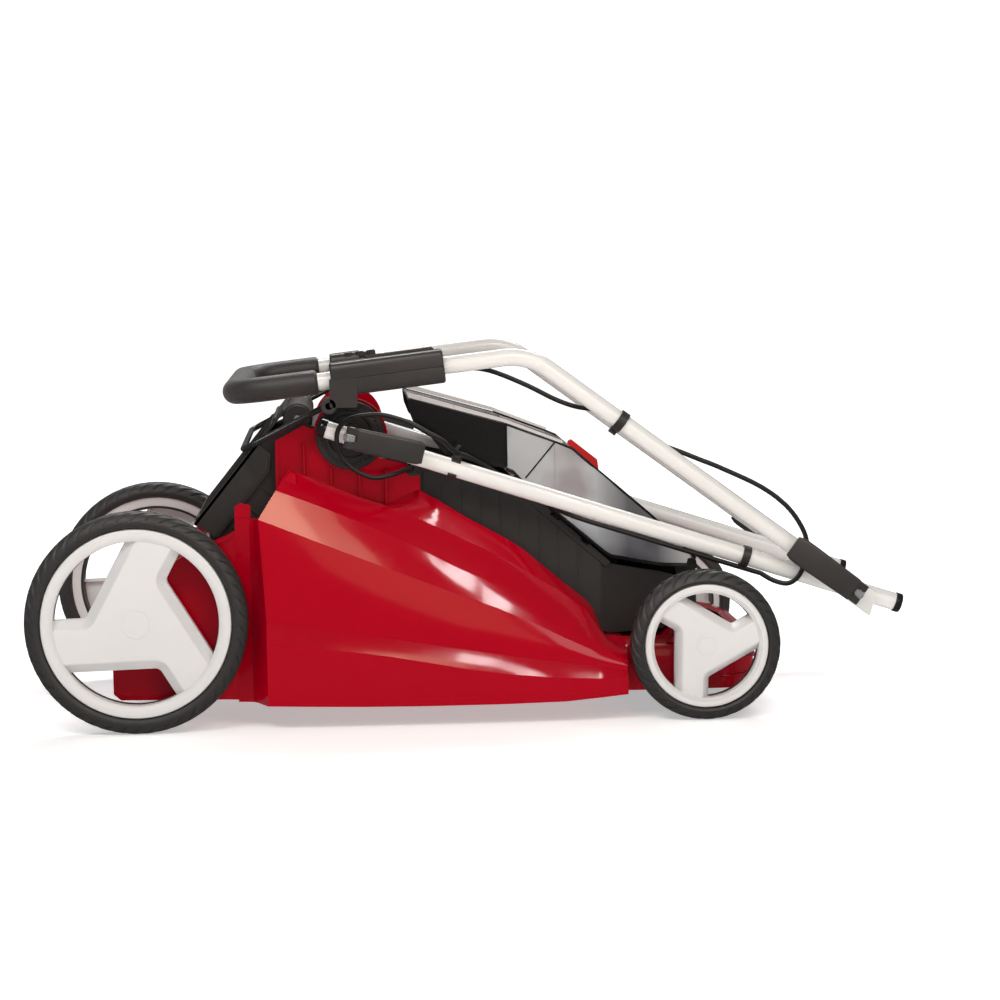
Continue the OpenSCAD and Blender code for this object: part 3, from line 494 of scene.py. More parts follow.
def sampled(line):
    """The line's own first point, and then one at every station."""
    curve = smooth_line(line[:-5], 3)[:-1] + [Vector(p) for p in line[-6:]]
    curve = sorted(curve, key=lambda p: p.x)
    across, height = [(p.x, p.y) for p in curve], [(p.x, p.z) for p in curve]
    return [Vector(line[0])] + [Vector((x, level(across, x), level(height, x))) for x in STATIONS]


def shifted(line, dy, dz):
    return [(x, y + dy, z + dz) for x, y, z in line]


def fender_lines():
    """The outer and the inner lines of the right half of the deck's middle, hem first."""
    rim = sampled(RIM_LINE)
    roof = [(x, y + DECK_WALL, min(ROOF_Z, z - 1)) for x, y, z in rim]
    outside = [sampled(line) for line in (HEM, BAND_LOW, BAND_HIGH, SIDE_CREASE, UPPER_CREASE, RIDGE)]
    hem, low, high, side, upper, ridge = outside
    inside = [shifted(hem, DECK_WALL, 0), shifted(low, DECK_WALL, 0), shifted(high, DECK_WALL, -1),
              shifted(side, DECK_WALL + 1, -3), shifted(upper, DECK_WALL + 2, -5),
              shifted(ridge, DECK_WALL + 1, -6),
              [(r.x, r.y, c.z - 6) for r, c in zip(rim, ridge)],
              shifted(roof, -DECK_WALL, -DECK_WALL), shifted(roof, 0, -DECK_WALL)]
    outside += [rim, shifted(rim, DECK_WALL, 0), roof]
    return [[Vector(p) for p in line] for line in outside], [[Vector(p) for p in line] for line in inside]


def crowned(lines, crown, steps=4):
    """Lines with more lines between them, which swell outward so that each panel is slightly convex."""
    out, ridges = [], []
    for k in range(len(lines) - 1):
        ridges.append(len(out))
        for s in range(steps):
            t = s / steps
            row = []
            for a, b in zip(lines[k], lines[k + 1]):
                rise = b - a
                outward = Vector()
                if rise.length > 0.1:
                    outward = Vector((0, -abs(rise.z), abs(rise.y))).normalized()
                row.append(a.lerp(b, t) + outward * crown[k] * 4 * t * (1 - t))
            out.append(row)
    ridges.append(len(out))
    return out + [lines[-1]], ridges


def deck_middle():
    """Both fenders and the roof between them, as one moulded shell."""
    outside, inside = fender_lines()
    outside, ridges = crowned(outside, CROWN)
    inside, _ = crowned(inside, [0.0] * len(CROWN))
    n = len(outside)
    rings = []
    for s in range(len(outside[0])):
        out_right, in_right = [line[s] for line in outside], [line[s] for line in inside]
        in_right.reverse()
        rings.append(out_right + mirrored(out_right) + mirrored(in_right) + in_right)
    size = 4 * n
    faces = wraps(size, len(rings))
    for base in (0, (len(rings) - 1) * size):
        faces += [(base + k, base + k + 1, base + size - 2 - k, base + size - 1 - k)
                  for k in range(2 * n - 1)]
    marked = ridges[1:7] + [2 * n - 1 - k for k in ridges[1:7]]
    lines = [(i * size + k, (i + 1) * size + k) for i in range(len(rings) - 1) for k in marked]
    return Shape().add([p for ring in rings for p in ring], faces, lines)


def wheel_arch():
    """The sloping web behind the rear wheel and the upright cheek inside it."""
    outer = smooth_line([HEM[0], (145, -223, 62), BAND_LOW[0]], 4)[:-1]
    outer += smooth_line([BAND_LOW[0], BAND_HIGH[0]], 2)[:-1]
    outer += smooth_line([BAND_HIGH[0], (143, -210, 180), SIDE_CREASE[0]], 6)
    rows = []
    for p in outer:
        foot, back = Vector((131, -184, p.z)), Vector((-1, 0, 0))
        rows.append([p, p.lerp(foot, 0.35) + back, p.lerp(foot, 0.75) + back]
                    + [Vector((x, y, p.z)) for x, y in ((127.5, -185.5), (119, -183.4), (111, -182.4))])
    shape = Shape().skin(rows, (4, 3, 0))
    edge = [(-30, 40, 4), (-30, 118, 20), (10, 172, 40), (60, 200, 20), (92, 214, 6), (111, 223, 3),
            (111, 250, 4), (117, 254, 3), (129, 252, 3), (129, 234, 2), (146, 238, 1), (146, 29, 1),
            (100, 31, 2), (-22, 33, 4)]
    shape.prism(rounded(edge, 4), -CHEEK_Y, -CHEEK_Y + 6)
    # Turned-out flange along the cheek's top, which stiffens it
    line = smooth_line([(-24, 0, 128), (12, 0, 172), (60, 0, 198), (92, 0, 212), (108, 0, 221)], 5)
    flange = [[p + Vector((0, -CHEEK_Y - 2.5, 0)), p + Vector((0, -CHEEK_Y + 5, 0))] for p in line]
    shape.skin(flange, (1.5, 0, -3))
    # Upright fillet that closes the fender's rear end above the cheek
    fillet = [(131, 234), (142, 238), (160, 268), (175, 289), (181, 284), (181, 236)]
    return shape.prism(rounded(fillet, 1.5), -180, -152)


def nose():
    """The low front of the deck with its rounded bumper and the hump over the axle."""
    def plan(inset):
        half = [(551, -CHEEK_Y + inset), (676 - inset * 0.4, -CHEEK_Y + inset, 34),
                (704 - inset, -150 + inset, 40), (714 - inset, -60, 120)]
        return rounded(half + [(x, -y, *own) for x, y, *own in reversed(half)], 2, 8)

    outer = [(0, 30), (0, 34), (0.6, 58), (2.2, 72), (6, 82), (12, 88), (20, 90)]
    inner = [(20 + DECK_WALL, 86), (6 + DECK_WALL, 80), (0.6 + DECK_WALL, 58), (DECK_WALL, 30)]
    shape = Shape().loft([[(x, y, z) for x, y in plan(inset)] for inset, z in outer + inner])
    # Hump over the axle, a low saddle from cheek to cheek
    saddle = [(600, -6), (606, -1), (613, 5), (622, 10), (634, HUMP), (646, HUMP), (658, 10), (667, 5),
              (674, -1), (680, -6)]
    shape.plate([(x, NOSE_Z + up) for x, up in saddle], 0, CHEEK_Y - 1)
    # Two shallow stiffening beads along the bumper
    for z in (44, 62):
        shape.rod([(x, y, z) for x, y in plan(-0.4) if x > 600], 1.6, 8)
    return shape


def deck():
    """The red shell: fenders, roof, cheeks, nose and the ribbed panel under the flap."""
    shape = deck_middle().both(wheel_arch()).also(nose())
    # Front web of each fender, and the sloping panel between the cheeks under the flap
    web = [(-211, 31), (-212, 48), (-208, 56), (-205, 65), (-193, 79), (-176, 86), (-176, 31)]
    for side in (1, -1):
        shape.loft([[(x, side * y, z) for y, z in web] for x in (547.5, 551.5)])
    rear = [(-30, 42), (-26, 42), (-26, 116), (14, 168), (78, 196), (76, 200), (10, 172), (-30, 118)]
    shape.plate(rounded(rear, 3), 0, CHEEK_Y - 1)
    rib = [(-32, 50), (-28, 50), (-28, 116), (12, 170), (60, 193), (58, 196), (9, 174), (-32, 118)]
    for y in range(-120, 121, 40):
        shape.plate(rounded(rib, 2), y, 2)
    return shape.make("deck_body", "deck", RED, "deck_red", "deck_shell", bevel=0.9, angle=24)


# ---------------------------------------------------------------- rear brackets, drums, chute, flap
BRACKET_Y = -154
PLATE = 6
DRUM_R = 42


def bracket():
    """The upright plate that carries the handle, with its round head and ribs."""
    cx, cz = LOW_PIVOT[0], LOW_PIVOT[2]
    outline = rounded([(158, 262), (158, 322, 3), (190, 339, 5), (203, 334, 8)], 2)
    outline += [Vector((cx + p.x, cz + p.y)) for p in arc(DRUM_R, 150, -40, 30)]
    outline += rounded([(322, 292), (322, 246), (253, 239)], 2)
    shape = Shape().prism(outline, BRACKET_Y, BRACKET_Y + PLATE)
    for x, foot, top in ((190.5, 278, 318), (221, 266, 291), (253, 254, 284), (283, 246, 288)):
        shape.prism(upright(x, 1.4, foot, top, 0.8), BRACKET_Y - 6, BRACKET_Y + 0.5)
        shape.rod([(x, BRACKET_Y - 6, foot + 1), (x, BRACKET_Y - 6, top - 1)], 1.5, 12)
    # Raised round lip behind the drum, and a stiffening edge down the rear
    lip = [(DRUM_R, BRACKET_Y - 4), (DRUM_R, BRACKET_Y + 1), (39.4, BRACKET_Y + 1), (39.4, BRACKET_Y - 4)]
    shape.lathe(lip, (cx, 0, cz), 72)
    edge = [(158, 264), (158, 322, 3), (190, 339, 5), (203, 334, 6), (201, 331, 6), (189, 335.5, 5),
            (161.5, 320, 3), (161.5, 264)]
    return shape.prism(rounded(edge, 1), BRACKET_Y - 3, BRACKET_Y + 1)


def drum():
    """The round black bearing between the bracket and the handle tube."""
    back, front = BRACKET_Y - 0.5, -LOWER_Y + TUBE_R + 0.3
    profile = [(4, back), (38.9, back), (38.9, front + 7), (37.4, front + 5.6), (30, front + 5.2),
               (28.5, front + 4.6), (28.5, front), (25, front), (24, front + 2.4), (15, front + 2.4),
               (14, front), (4, front)]
    shape = Shape().lathe(profile, (LOW_PIVOT[0], 0, LOW_PIVOT[2]), 96)
    # Small teeth around the bearing's edge
    for k in range(36):
        a = math.radians(10 * k)
        x, z = LOW_PIVOT[0] + 33 * math.cos(a), LOW_PIVOT[2] + 33 * math.sin(a)
        shape.lathe([(0, front + 4.4), (1.5, front + 4.4), (1.5, front + 6), (0, front + 6)], (x, 0, z), 8)
    return shape


FLAP_ALONG = Vector((0.629, 0, 0.777))
FLAP_INTO = Vector((0.777, 0, -0.629))
FLAP_TIP = Vector((63, 0, 228))
FLAP_HALF = 133
WING_Y = 143.3


def flap_at(s, inward):
    """A place in side view, s along the flap from its tip, and so far under its outer face."""
    place = FLAP_TIP + FLAP_ALONG * s + FLAP_INTO * inward
    return place.x, place.z


def flap():
    """The rear flap: a sprung plate with side wings, stiffening beads and a hinge barrel."""
    panel = [flap_at(0, 0.4), flap_at(1, 0), flap_at(166, 0), flap_at(166, 3.5), flap_at(0, 3.5)]
    shape = Shape().prism(panel, -FLAP_HALF, FLAP_HALF)
    for side in (-1, 1):
        wing = rounded([flap_at(0, 0), flap_at(117, 0), flap_at(118, 20), flap_at(101, 31), flap_at(4, 31)],
                       3)
        shape.plate(wing, side * WING_Y, 1.7)
        shape.plate([flap_at(0, 0), flap_at(118, 0), flap_at(118, 3.5), flap_at(0, 3.5)], side * 139, 6)
        rim = rounded([flap_at(2, 25), flap_at(100, 25), flap_at(112, 17), flap_at(114, 19), flap_at(102, 28),
                       flap_at(2, 28)], 1)
        shape.plate(rim, side * 145.4, 0.8)
    for y in (-104, -52, 0, 52, 104):
        bead = rounded([flap_at(12, -1.8), flap_at(140, -1.8), flap_at(144, 0.5), flap_at(8, 0.5)], 1.5)
        shape.plate(bead, y, 3)
    for s in (4, 148):
        bead = rounded([flap_at(s, -1.6), flap_at(s + 4, -1.6), flap_at(s + 5, 1), flap_at(s - 1, 1)], 1)
        shape.plate(bead, 0, 130)
    barrel = [(4.05, -FLAP_HALF), (15.6, -FLAP_HALF), (17, -131.5), (17, -60), (16.4, -59), (16.4, 59),
              (17, 60), (17, 131.5), (15.6, FLAP_HALF), (4.05, FLAP_HALF)]
    shape.lathe(barrel, (FLAP_PIN[0], 0, FLAP_PIN[2]), 56)
    return shape.make("flap_panel", "flap", SATIN, "black_plastic", "rear_flap", bevel=0.7)


def chute_sides():
    """Extra relief on the chute's outer cheeks, seen beside the flap."""
    shape = Shape()
    for side in (-1, 1):
        for s in (24, 52, 80, 108):
            outline = rounded([flap_at(s, 36), flap_at(s + 3, 36), flap_at(s + 3, 66), flap_at(s, 66)], 1)
            shape.plate(outline, side * 140.6, 1.2)
    return shape.make("chute_ribs", "deck", BLACK, "dark_plastic", bevel=0.4)


# ---------------------------------------------------------------- motor housing and cover
HOUSING_Y = 144
HOUSING_TOP = [(262, 300), (318, 299), (424, 275), (454, 244), (537, 172), (600, 158), (646, 144)]
HOUSING_FLOOR = [(262, ROOF_Z), (514, ROOF_Z), (520, 117), (526, 102), (532, NOSE_Z + 1), (604, NOSE_Z + 1),
                 (612, NOSE_Z + HUMP), (646, NOSE_Z + HUMP)]


def dense(outline, step=7.0):
    """An outline with points added so that none are further apart than the step."""
    out = []
    for i, a in enumerate(outline):
        a, b = Vector(a), Vector(outline[(i + 1) % len(outline)])
        parts = max(1, math.ceil((b - a).length / step))
        out += [a.lerp(b, k / parts) for k in range(parts)]
    return out


def housing_plan():
    """The tub's outer edge from above."""
    half = [(262, -HOUSING_Y, 6), (528, -HOUSING_Y, 14), (620, -104, 14), (646, -86, 6)]
    return dense(rounded(half + [(x, -y, own) for x, y, own in reversed(half)], 6, 6))


def housing():
    """The black tub over the motor: a wall that follows the plan, its floor, ribs and clips."""
    outer = housing_plan()
    inner = [p + (Vector((430, 0)) - p).normalized() * 3.2 for p in outer]
    turns = ((outer, HOUSING_FLOOR), (outer, HOUSING_TOP), (inner, HOUSING_TOP), (inner, HOUSING_FLOOR))
    rings = [[(p.x, p.y, level(height, p.x)) for p in ring] for ring, height in turns]
    shape = Shape().loft(rings, closed=True)
    floor = HOUSING_FLOOR + [(x, z + 3) for x, z in reversed(HOUSING_FLOOR)]
    shape.prism([(min(max(x, 264), 640), z) for x, z in floor], -96, 96)
    # Fine upright ribs on both flanks
    for side in (-1, 1):
        for i in range(11):
            x = 282 + 22 * i
            rib = upright(x, 0.9, level(HOUSING_FLOOR, x) + 4, level(HOUSING_TOP, x) - 5, 0.6)
            shape.plate(rib, side * HOUSING_Y, 0.4)
        # Castellated clips along the sloping edge, and the rolled lip behind them
        for x in (446, 480, 513):
            base = Vector((x - 2, 0, level(HOUSING_TOP, x) - 2))
            along, out = turned((1, 0, 0), 41, "Y"), turned((0, 0, 1), 41, "Y")
            corners = [base, base + along * 33, base + along * 33 + out * 6, base + out * 6]
            shape.plate(rounded([(c.x, c.z) for c in corners], 1), side * 142, 2.2)
        lip = [(266, 299), (318, 298), (424, 274), (452, 246), (535, 174)]
        rows = [[(x, side * (HOUSING_Y + 1.2), z - 6), (x, side * (HOUSING_Y + 1.4), z + 0.5),
                 (x, side * (HOUSING_Y - 4), z + 0.5)] for x, z in lip]
        shape.skin(rows, (0, -side * 1.6, -1.2))
    return shape.make("housing_tub", "deck", BLACK, "black_plastic", "motor_housing", bevel=0.6)


COVER_Y = 134
COVER_TOP = [(311, 367), (420, 336), (478, 314), (499, 305), (519, 287), (548, 262), (598, 218), (648, 168)]
COVER_FOOT = [(312, 348), (318, 322), (330, 302), (352, 297), (428, 280), (456, 250), (540, 178), (600, 164),
              (642, 160)]


def cover_half_width(x):
    """The cover narrows towards its front end."""
    return level([(300, COVER_Y), (530, COVER_Y), (616, 98), (650, 80)], x)


def cover_side(x0, x1, y_out):
    """The window in the cover's right flank between two stations, slightly convex."""
    count = round((x1 - x0) / 8)
    rows = []
    for i in range(count + 1):
        x = x0 + (x1 - x0) * i / count
        high, low = level(COVER_TOP, x) - 1.5, level(COVER_FOOT, x) + 3.5
        y = -cover_half_width(x) + y_out
        rows.append([(x, y - 0.8 * math.sin(math.pi * t), low + (high - low) * t)
                     for t in (0, 0.33, 0.67, 1)])
    return Shape().skin(rows, (0, 2.4, 0))


def cover_rear_side():
    """The black rear part of the flank, with its rounded lower corner."""
    outline = rounded([(310, 367), (312, 350, 14), (318, 334, 10), (331, 328, 10), (352, 300, 14),
                       (422, 283, 2), (422, 335, 2)], 3, 6)
    return Shape().prism(outline, -COVER_Y, -COVER_Y + 3)


def cover_body():
    """The black frame: rear sides and roof, foot rails and hinge knuckles."""
    shape = Shape().both(cover_rear_side())
    roof = [(x, level(COVER_TOP, x)) for x in (311, 340, 380, 410, 423)]
    rows = [[(x, y, z - 1 + (1 - (y / COVER_Y) ** 2)) for y in range(-130, 131, 20)] for x, z in roof]
    shape.skin(rows, (0, 0, -3))
    for side in (1, -1):
        rail = []
        for x in [422 + 220 * i / 24 for i in range(25)]:
            y, z = -cover_half_width(x) * side, level(COVER_FOOT, x)
            rail.append([(x, y + out * side, z + up) for out, up in ((-0.4, -0.5), (-0.4, 3.4), (1.5, 3.4))])
        shape.skin(rail, (0, side * 2.4, 0))
        knuckle = rounded([(622, 146), (640, 146), (647, 160), (646, 170), (620, 170)], 5)
        shape.plate(knuckle, side * 84, 4)
        shape.lathe([(0, -6), (3, -6), (3, 6), (0, 6)], (COVER_PIN[0], side * 86, COVER_PIN[2]), 24)
    shape.make("cover_body", "battery_cover", GLOSS_BLACK, "black_plastic", "cover_frame", bevel=0.6)


def cover_glazing():
    """The smoked window, over the flanks and the sloping top."""
    glass = Shape().both(cover_side(422.5, 478, 0.6)).both(cover_side(478, 640, 0.2))
    top = [(x, level(COVER_TOP, x)) for x in [424, 454, 478, 488, 499, 519, 548, 573, 598, 623, 644]]
    rows = []
    for x, z in top:
        half = cover_half_width(x) - 3
        rows.append([(x, half * t, z - 2 + 3 * (1 - t * t)) for t in [k / 6 for k in range(-6, 7)]])
    glass.skin(rows, (0, 0, -2.6))
    glass.make("cover_glazing", "battery_cover", SMOKED, "smoked_window", "cover_window", bevel=0.5, angle=12)


def cover_details():
    """Dark seals along the window's edges and its folds, the pale trims and the red latch."""
    seals = Shape()
    for side in (1, -1):
        edge = [(x, -side * (cover_half_width(x) - 0.6), level(COVER_TOP, x) - 0.6)
                for x in (422, 478, 499, 519, 548, 573, 598, 623, 646)]
        seals.rod(smooth_line(edge[:2], 3) + smooth_line(edge[2:], 3), 1.5, 10)
        seals.rod([(478, -side * (COVER_Y + 0.3), 312), (444, -side * (COVER_Y + 0.3), 272)], 0.9, 8)
        seals.rod([(422.5, -side * (COVER_Y + 0.2), 334), (422.5, -side * (COVER_Y + 0.2), 286)], 1.1, 8)
    seals.make("cover_seals", "battery_cover", GLOSS_BLACK, "black_plastic", bevel=0.0, angle=50)
    trim = Shape()
    for side in (1, -1):
        strip = [(311, 367.4), (308.5, 373.6), (420, 340.6), (488, 313.6), (487, 311), (420, 336.8)]
        trim.plate(rounded(strip, 1.2), side * (COVER_Y - 4), 4.4)
    trim.make("cover_trims", "battery_cover", TRIM, "silver_trim", "cover_trim", bevel=0.7)
    latch = Shape().prism(rounded([(511, 291), (513, 298.5), (517, 300), (548, 275), (550, 260)], 1.5),
                          COVER_Y - 38, COVER_Y - 24)
    latch.make("cover_latch", "battery_cover", BUTTON, "button_red", bevel=0.6)


# ---------------------------------------------------------------- wheels
TYRE_W = 42


def tyre(name, hub, radius, rim_radius, blocks, body, node):
    """A solid tyre whose chevron blocks are part of its skin."""
    half = TYRE_W / 2
    profile = [(rim_radius, -half + 5, 0), (rim_radius + 1.5, -half + 1.6, 0),
               (rim_radius + 4, -half + 0.5, 0), (radius - 11, -half, 0), (radius - 7.5, -half + 1.2, 0.35),
               (radius - 4.2, -half + 3.2, 1), (radius - 1.8, -half + 6, 1), (radius - 0.5, -half + 10, 1),
               (radius, -half + 15, 1), (radius, -half + 18.4, 1)]
    profile += [(r, -y, d) for r, y, d in reversed(profile)]
    steps = [0.0, 0.05, 0.13, 0.3, 0.5, 0.7, 0.78, 0.83]
    depth = [1.0, 0.15, 0.0, 0.0, 0.0, 0.0, 0.15, 1.0]
    rings = []
    for b in range(blocks):
        for t, groove in zip(steps, depth):
            ring = []
            for r, y, share in profile:
                swing = 1.9 * (abs(y) / half) ** 1.4
                angle = 2 * math.pi * (b + t + swing) / blocks
                deep = r - 3.4 * groove * share
                ring.append((hub[0] + deep * math.cos(angle), hub[1] + y, hub[2] + deep * math.sin(angle)))
            rings.append(ring)
    shape = Shape().loft(rings, closed=True)
    return shape.make(name, body, TYRE, "tyre_rubber", node, angle=32)


def spider_outline(direction, hand, long_edge, short_edge, fillet, radius, grow):
    """The three-armed web of a rim. Each arm is set off centre, so one of its edges is long and one short."""
    points = []
    far, near, bend = long_edge + grow, short_edge - grow, fillet - grow
    for k in range(3):
        a = math.radians(120 * k)
        u, n = Vector((math.cos(a), math.sin(a))), Vector((-math.sin(a), math.cos(a)))
        next_n = Vector((-math.sin(a + math.radians(120)), math.cos(a + math.radians(120))))
        start, end = math.asin(near / radius), math.asin(far / radius)
        points += [u * radius * math.cos(t) + n * radius * math.sin(t)
                   for t in [start + (end - start) * i / 6 for i in range(7)]]
        # Centre of the fillet between this arm's long edge and the next arm's short one
        p, q = far + bend, near - bend
        cross = n.x * next_n.y - n.y * next_n.x
        centre = Vector(((p * next_n.y - q * n.y) / cross, (q * n.x - p * next_n.x) / cross))
        first = math.atan2(-n.y, -n.x)
        points += [centre + Vector((math.cos(first - math.radians(60) * i / 8),
                                    math.sin(first - math.radians(60) * i / 8))) * bend for i in range(9)]
    turn = Matrix.Rotation(math.radians(direction), 2)
    return [turn @ Vector((p.x, p.y * hand)) if hand > 0 else turn @ Vector((p.x, -p.y)) for p in points]


def rim(name, hub, side, size, body, node):
    """A rim drawn as seen from the mower's right; side is -1 on the right and 1 on the left."""
    radius, ring, arm_dir, hand = size["radius"], size["ring"], size["direction"], size["hand"]
    shape = Shape()
    inner = radius - ring
    hoop = [(radius, 15.6), (radius - 1, 18.4), (radius - 3.5, 19.6), (radius - 7, 19.4), (inner + 3, 17.6),
            (inner + 0.6, 15), (inner, 11), (inner + 1.2, -12), (inner + 2.4, -14), (radius, -15.6)]
    shape.lathe([(r, -out) for r, out in hoop], (0, 0, 0), 144)
    draft = size["draft"]
    levels = [(14.6, -3.0), (14.2, -1.4), (13.4, -0.4), (12.2, 0.4), (3.0, draft), (-7.0, draft + 0.6),
              (-7.0, draft - 2.6), (0.0, draft - 3.2)]
    rings = []
    for out, grow in levels:
        outline = spider_outline(arm_dir, hand, size["far"], size["near"], size["fillet"], inner + 1.5, grow)
        rings.append([(p.x, -out, p.y) for p in outline])
    shape.loft(rings)
    # Plain round hub mark, and the sleeve that runs on the axle
    boss = size["boss"]
    shape.lathe([(boss, -14.2), (boss, -15.0), (boss - 0.8, -15.3), (boss - 2.2, -15.3), (boss - 3, -14.8),
                 (boss - 3, -14.2)], (0, 0, 0), 64)
    sleeve = [(6.05, -6), (boss * 0.9, -6), (boss * 0.86, 17.4), (boss * 0.8, 18), (6.05, 18)]
    shape.lathe(sleeve, (0, 0, 0), 48)
    # A dark ring over the hoop's inner face on its inboard side.
    dark_inner_ring = Shape().lathe([(inner + 1.5, -1), (inner - 0.6, -1), (inner + 1.2, 15), (inner + 4, 15)],
                           (0, 0, 0), 96)
    if side > 0:
        shape, dark_inner_ring = shape.left(), dark_inner_ring.left()
    dark_inner_ring.moved(lambda v: v + Vector(hub)).make(name + "_lining", body, BLACK, "dark_plastic", angle=40)
    placed = shape.moved(lambda v: v + Vector(hub))
    return placed.make(name, body, RIM, "rim_grey", node, bevel=0.5, segments=2, angle=34)


REAR_RIM = {"radius": 106.6, "ring": 14.5, "direction": 61.5, "hand": 1, "far": 43, "near": 3, "fillet": 18,
            "draft": 9.5, "boss": 17}
FRONT_RIM = {"radius": 70.2, "ring": 11, "direction": 29, "hand": -1, "far": 27.5, "near": 3, "fillet": 11,
             "draft": 6.5, "boss": 12}


def wheels():
    """Tyres and rims, the big rear pair and the small front pair."""
    for word, side in (("right", -1), ("left", 1)):
        rear = (REAR_HUB[0], side * abs(REAR_HUB[1]), REAR_HUB[2])
        front = (FRONT_HUB[0], side * abs(FRONT_HUB[1]), FRONT_HUB[2])
        tyre(f"rear_tread_{word}", rear, 125, 106.8, 46, f"rear_wheel_{word}", f"rear_tyre_{word}")
        tyre(f"front_tread_{word}", front, 85, 70.4, 32, f"front_wheel_{word}", f"front_tyre_{word}")
        rim(f"rear_spider_{word}", rear, side, REAR_RIM, f"rear_wheel_{word}", f"rear_rim_{word}")
        rim(f"front_spider_{word}", front, side, FRONT_RIM, f"front_wheel_{word}", f"front_rim_{word}")


# ---------------------------------------------------------------- handle
LOWER_FALL = 18.1
ARM_RISE = 36.8
LOWER_LEN = math.hypot(UP_PIVOT[0] - LOW_PIVOT[0], UP_PIVOT[2] - LOW_PIVOT[2])
TAIL, NOSE, CAP = 29, 52, 8
ARM_LEN, GRIP_LEN, GRIP_FALL = 460, 331, 6.4
BEND_R, CORNER_R = 70, 42


def ruler(origin, way, angle):
    """Gives places along a sloping line: s from its origin, y across, and so far above it."""
    ahead, above = turned((way, 0, 0), angle, "Y"), turned((0, 0, 1), angle, "Y")

    def place(s, y, out=0.0):
        return Vector((origin[0], y, origin[2])) + ahead * s + above * out

    return place


# From the lower pivot forward, from the upper pivot back to the bend, and from the bend to the grip's back
along_lower = ruler(LOW_PIVOT, 1, LOWER_FALL)
along_arm = ruler(UP_PIVOT, -1, ARM_RISE)
BEND = along_arm(ARM_LEN, 0)
on_grip = ruler(BEND, -1, -GRIP_FALL)


def lower_tube():
    """The right lower tube, hollow, from behind its lower pivot to past the upper one."""
    path = [along_lower(-TAIL + (TAIL + LOWER_LEN + NOSE) * k / 12, -LOWER_Y) for k in range(13)]
    return Shape().pipe(path, TUBE_R, TUBE_R - 1.5)


def tube_caps():
    """The plastic plugs in both ends of a lower tube."""
    shape = Shape()
    for s, way in ((-TAIL, -1), (LOWER_LEN + NOSE, 1)):
        path = [along_lower(s + way * d, -LOWER_Y) for d in (-8, 0, 0.01, 1, 6, 7.4, CAP)]
        size = [8.4, 8.4, 10.9, 11, 11, 10.4, 8.6]
        shape.sweep(path, lambda i: [p * size[i] for p in arc(1, 0, 350, 35)])
    return shape


def handle_path(start, corner_steps=10):
    """The upper handle's centre line from the right arm over the grip to the left arm."""
    turn = ARM_RISE + GRIP_FALL
    cut = BEND_R * math.tan(math.radians(turn / 2))
    right = [along_arm(start + (ARM_LEN - cut - start) * k / 6, -ARM_Y) for k in range(7)]
    centre = along_arm(ARM_LEN - cut, -ARM_Y, -BEND_R)
    begin = right[-1] - centre
    right += [centre + turned(begin, -turn * k / 10, "Y") for k in range(1, 11)]
    right += [on_grip(cut + (GRIP_LEN - CORNER_R - cut) * k / 8, -ARM_Y) for k in range(1, 9)]
    pivot = on_grip(GRIP_LEN - CORNER_R, -ARM_Y + CORNER_R)
    for k in range(1, corner_steps + 1):
        a = math.radians(90 * k / corner_steps)
        right.append(pivot + (on_grip(1, 0) - on_grip(0, 0)) * CORNER_R * math.sin(a)
                     + Vector((0, -CORNER_R * math.cos(a), 0)))
    left = mirrored(right)
    return right + [right[-1].lerp(left[0], k / 6) for k in range(1, 6)] + left


def handle_tube():
    """One bent tube with its two ends pressed flat and cut at a slant."""
    ring = circle(TUBE_R, 36)
    shape = Shape().sweep(handle_path(52), lambda i: ring)
    # Place on the arm, half width, half thickness and shift inward of each section
    stages = [(58, 10, 10, 0), (52, 10, 10, 0), (46, 10.8, 8.6, 0.8), (40, 12, 6.6, 2.4),
              (34, 13.2, 4.9, 4.6), (24, 13.5, 4.5, 5.4), (0, 13.5, 4.5, 5.5), (-18, 13.5, 4.5, 5.5),
              (-26, 13.5, 4.5, 5.5), (-26.01, 12.4, 3.4, 5.5)]
    for side in (-1, 1):
        rings = []
        for s, wide, thick, shift in stages:
            section = []
            for p in circle(1, 36):
                flat = (1 - (thick / TUBE_R)) * 0.75
                power = 1 - 0.5 * flat
                across = math.copysign(abs(p.x) ** power, p.x) * wide
                out = math.copysign(abs(p.y) ** power, p.y) * thick
                slant = (across / 13.5) * 5 if s < -20 else 0
                section.append(along_arm(s + slant, side * (ARM_Y - shift) + out, across))
            rings.append(section)
        shape.loft(rings)
    return shape.make("handle_tube", "upper_handle", TUBE, "tube_paint", "upper_handle_tube", bevel=0.5,
                      angle=40)


FOAM_START, FOAM_R = 236, 14


def foam():
    """The soft sleeve over the grip, a little thicker than the tube and rounded at its ends."""
    inside = [p for p in handle_path(52, 14) if (p - BEND).x < 0 and on_grip_distance(p) > FOAM_START]
    inside = [on_grip(FOAM_START, -ARM_Y)] + inside + [on_grip(FOAM_START, ARM_Y)]
    shape = Shape().rod(inside, FOAM_R, 40, end=4.5)
    return shape.make("grip_sleeve", "upper_handle", FOAM, "foam", "foam_grip", angle=60)


def on_grip_distance(p):
    """How far a place is from the bend, measured along the grip."""
    ahead = turned((-1, 0, 0), -GRIP_FALL, "Y")
    return (p - Vector((BEND.x, p.y, BEND.z))).dot(ahead)


HOUSING_FROM, HOUSING_TO = 95, 222


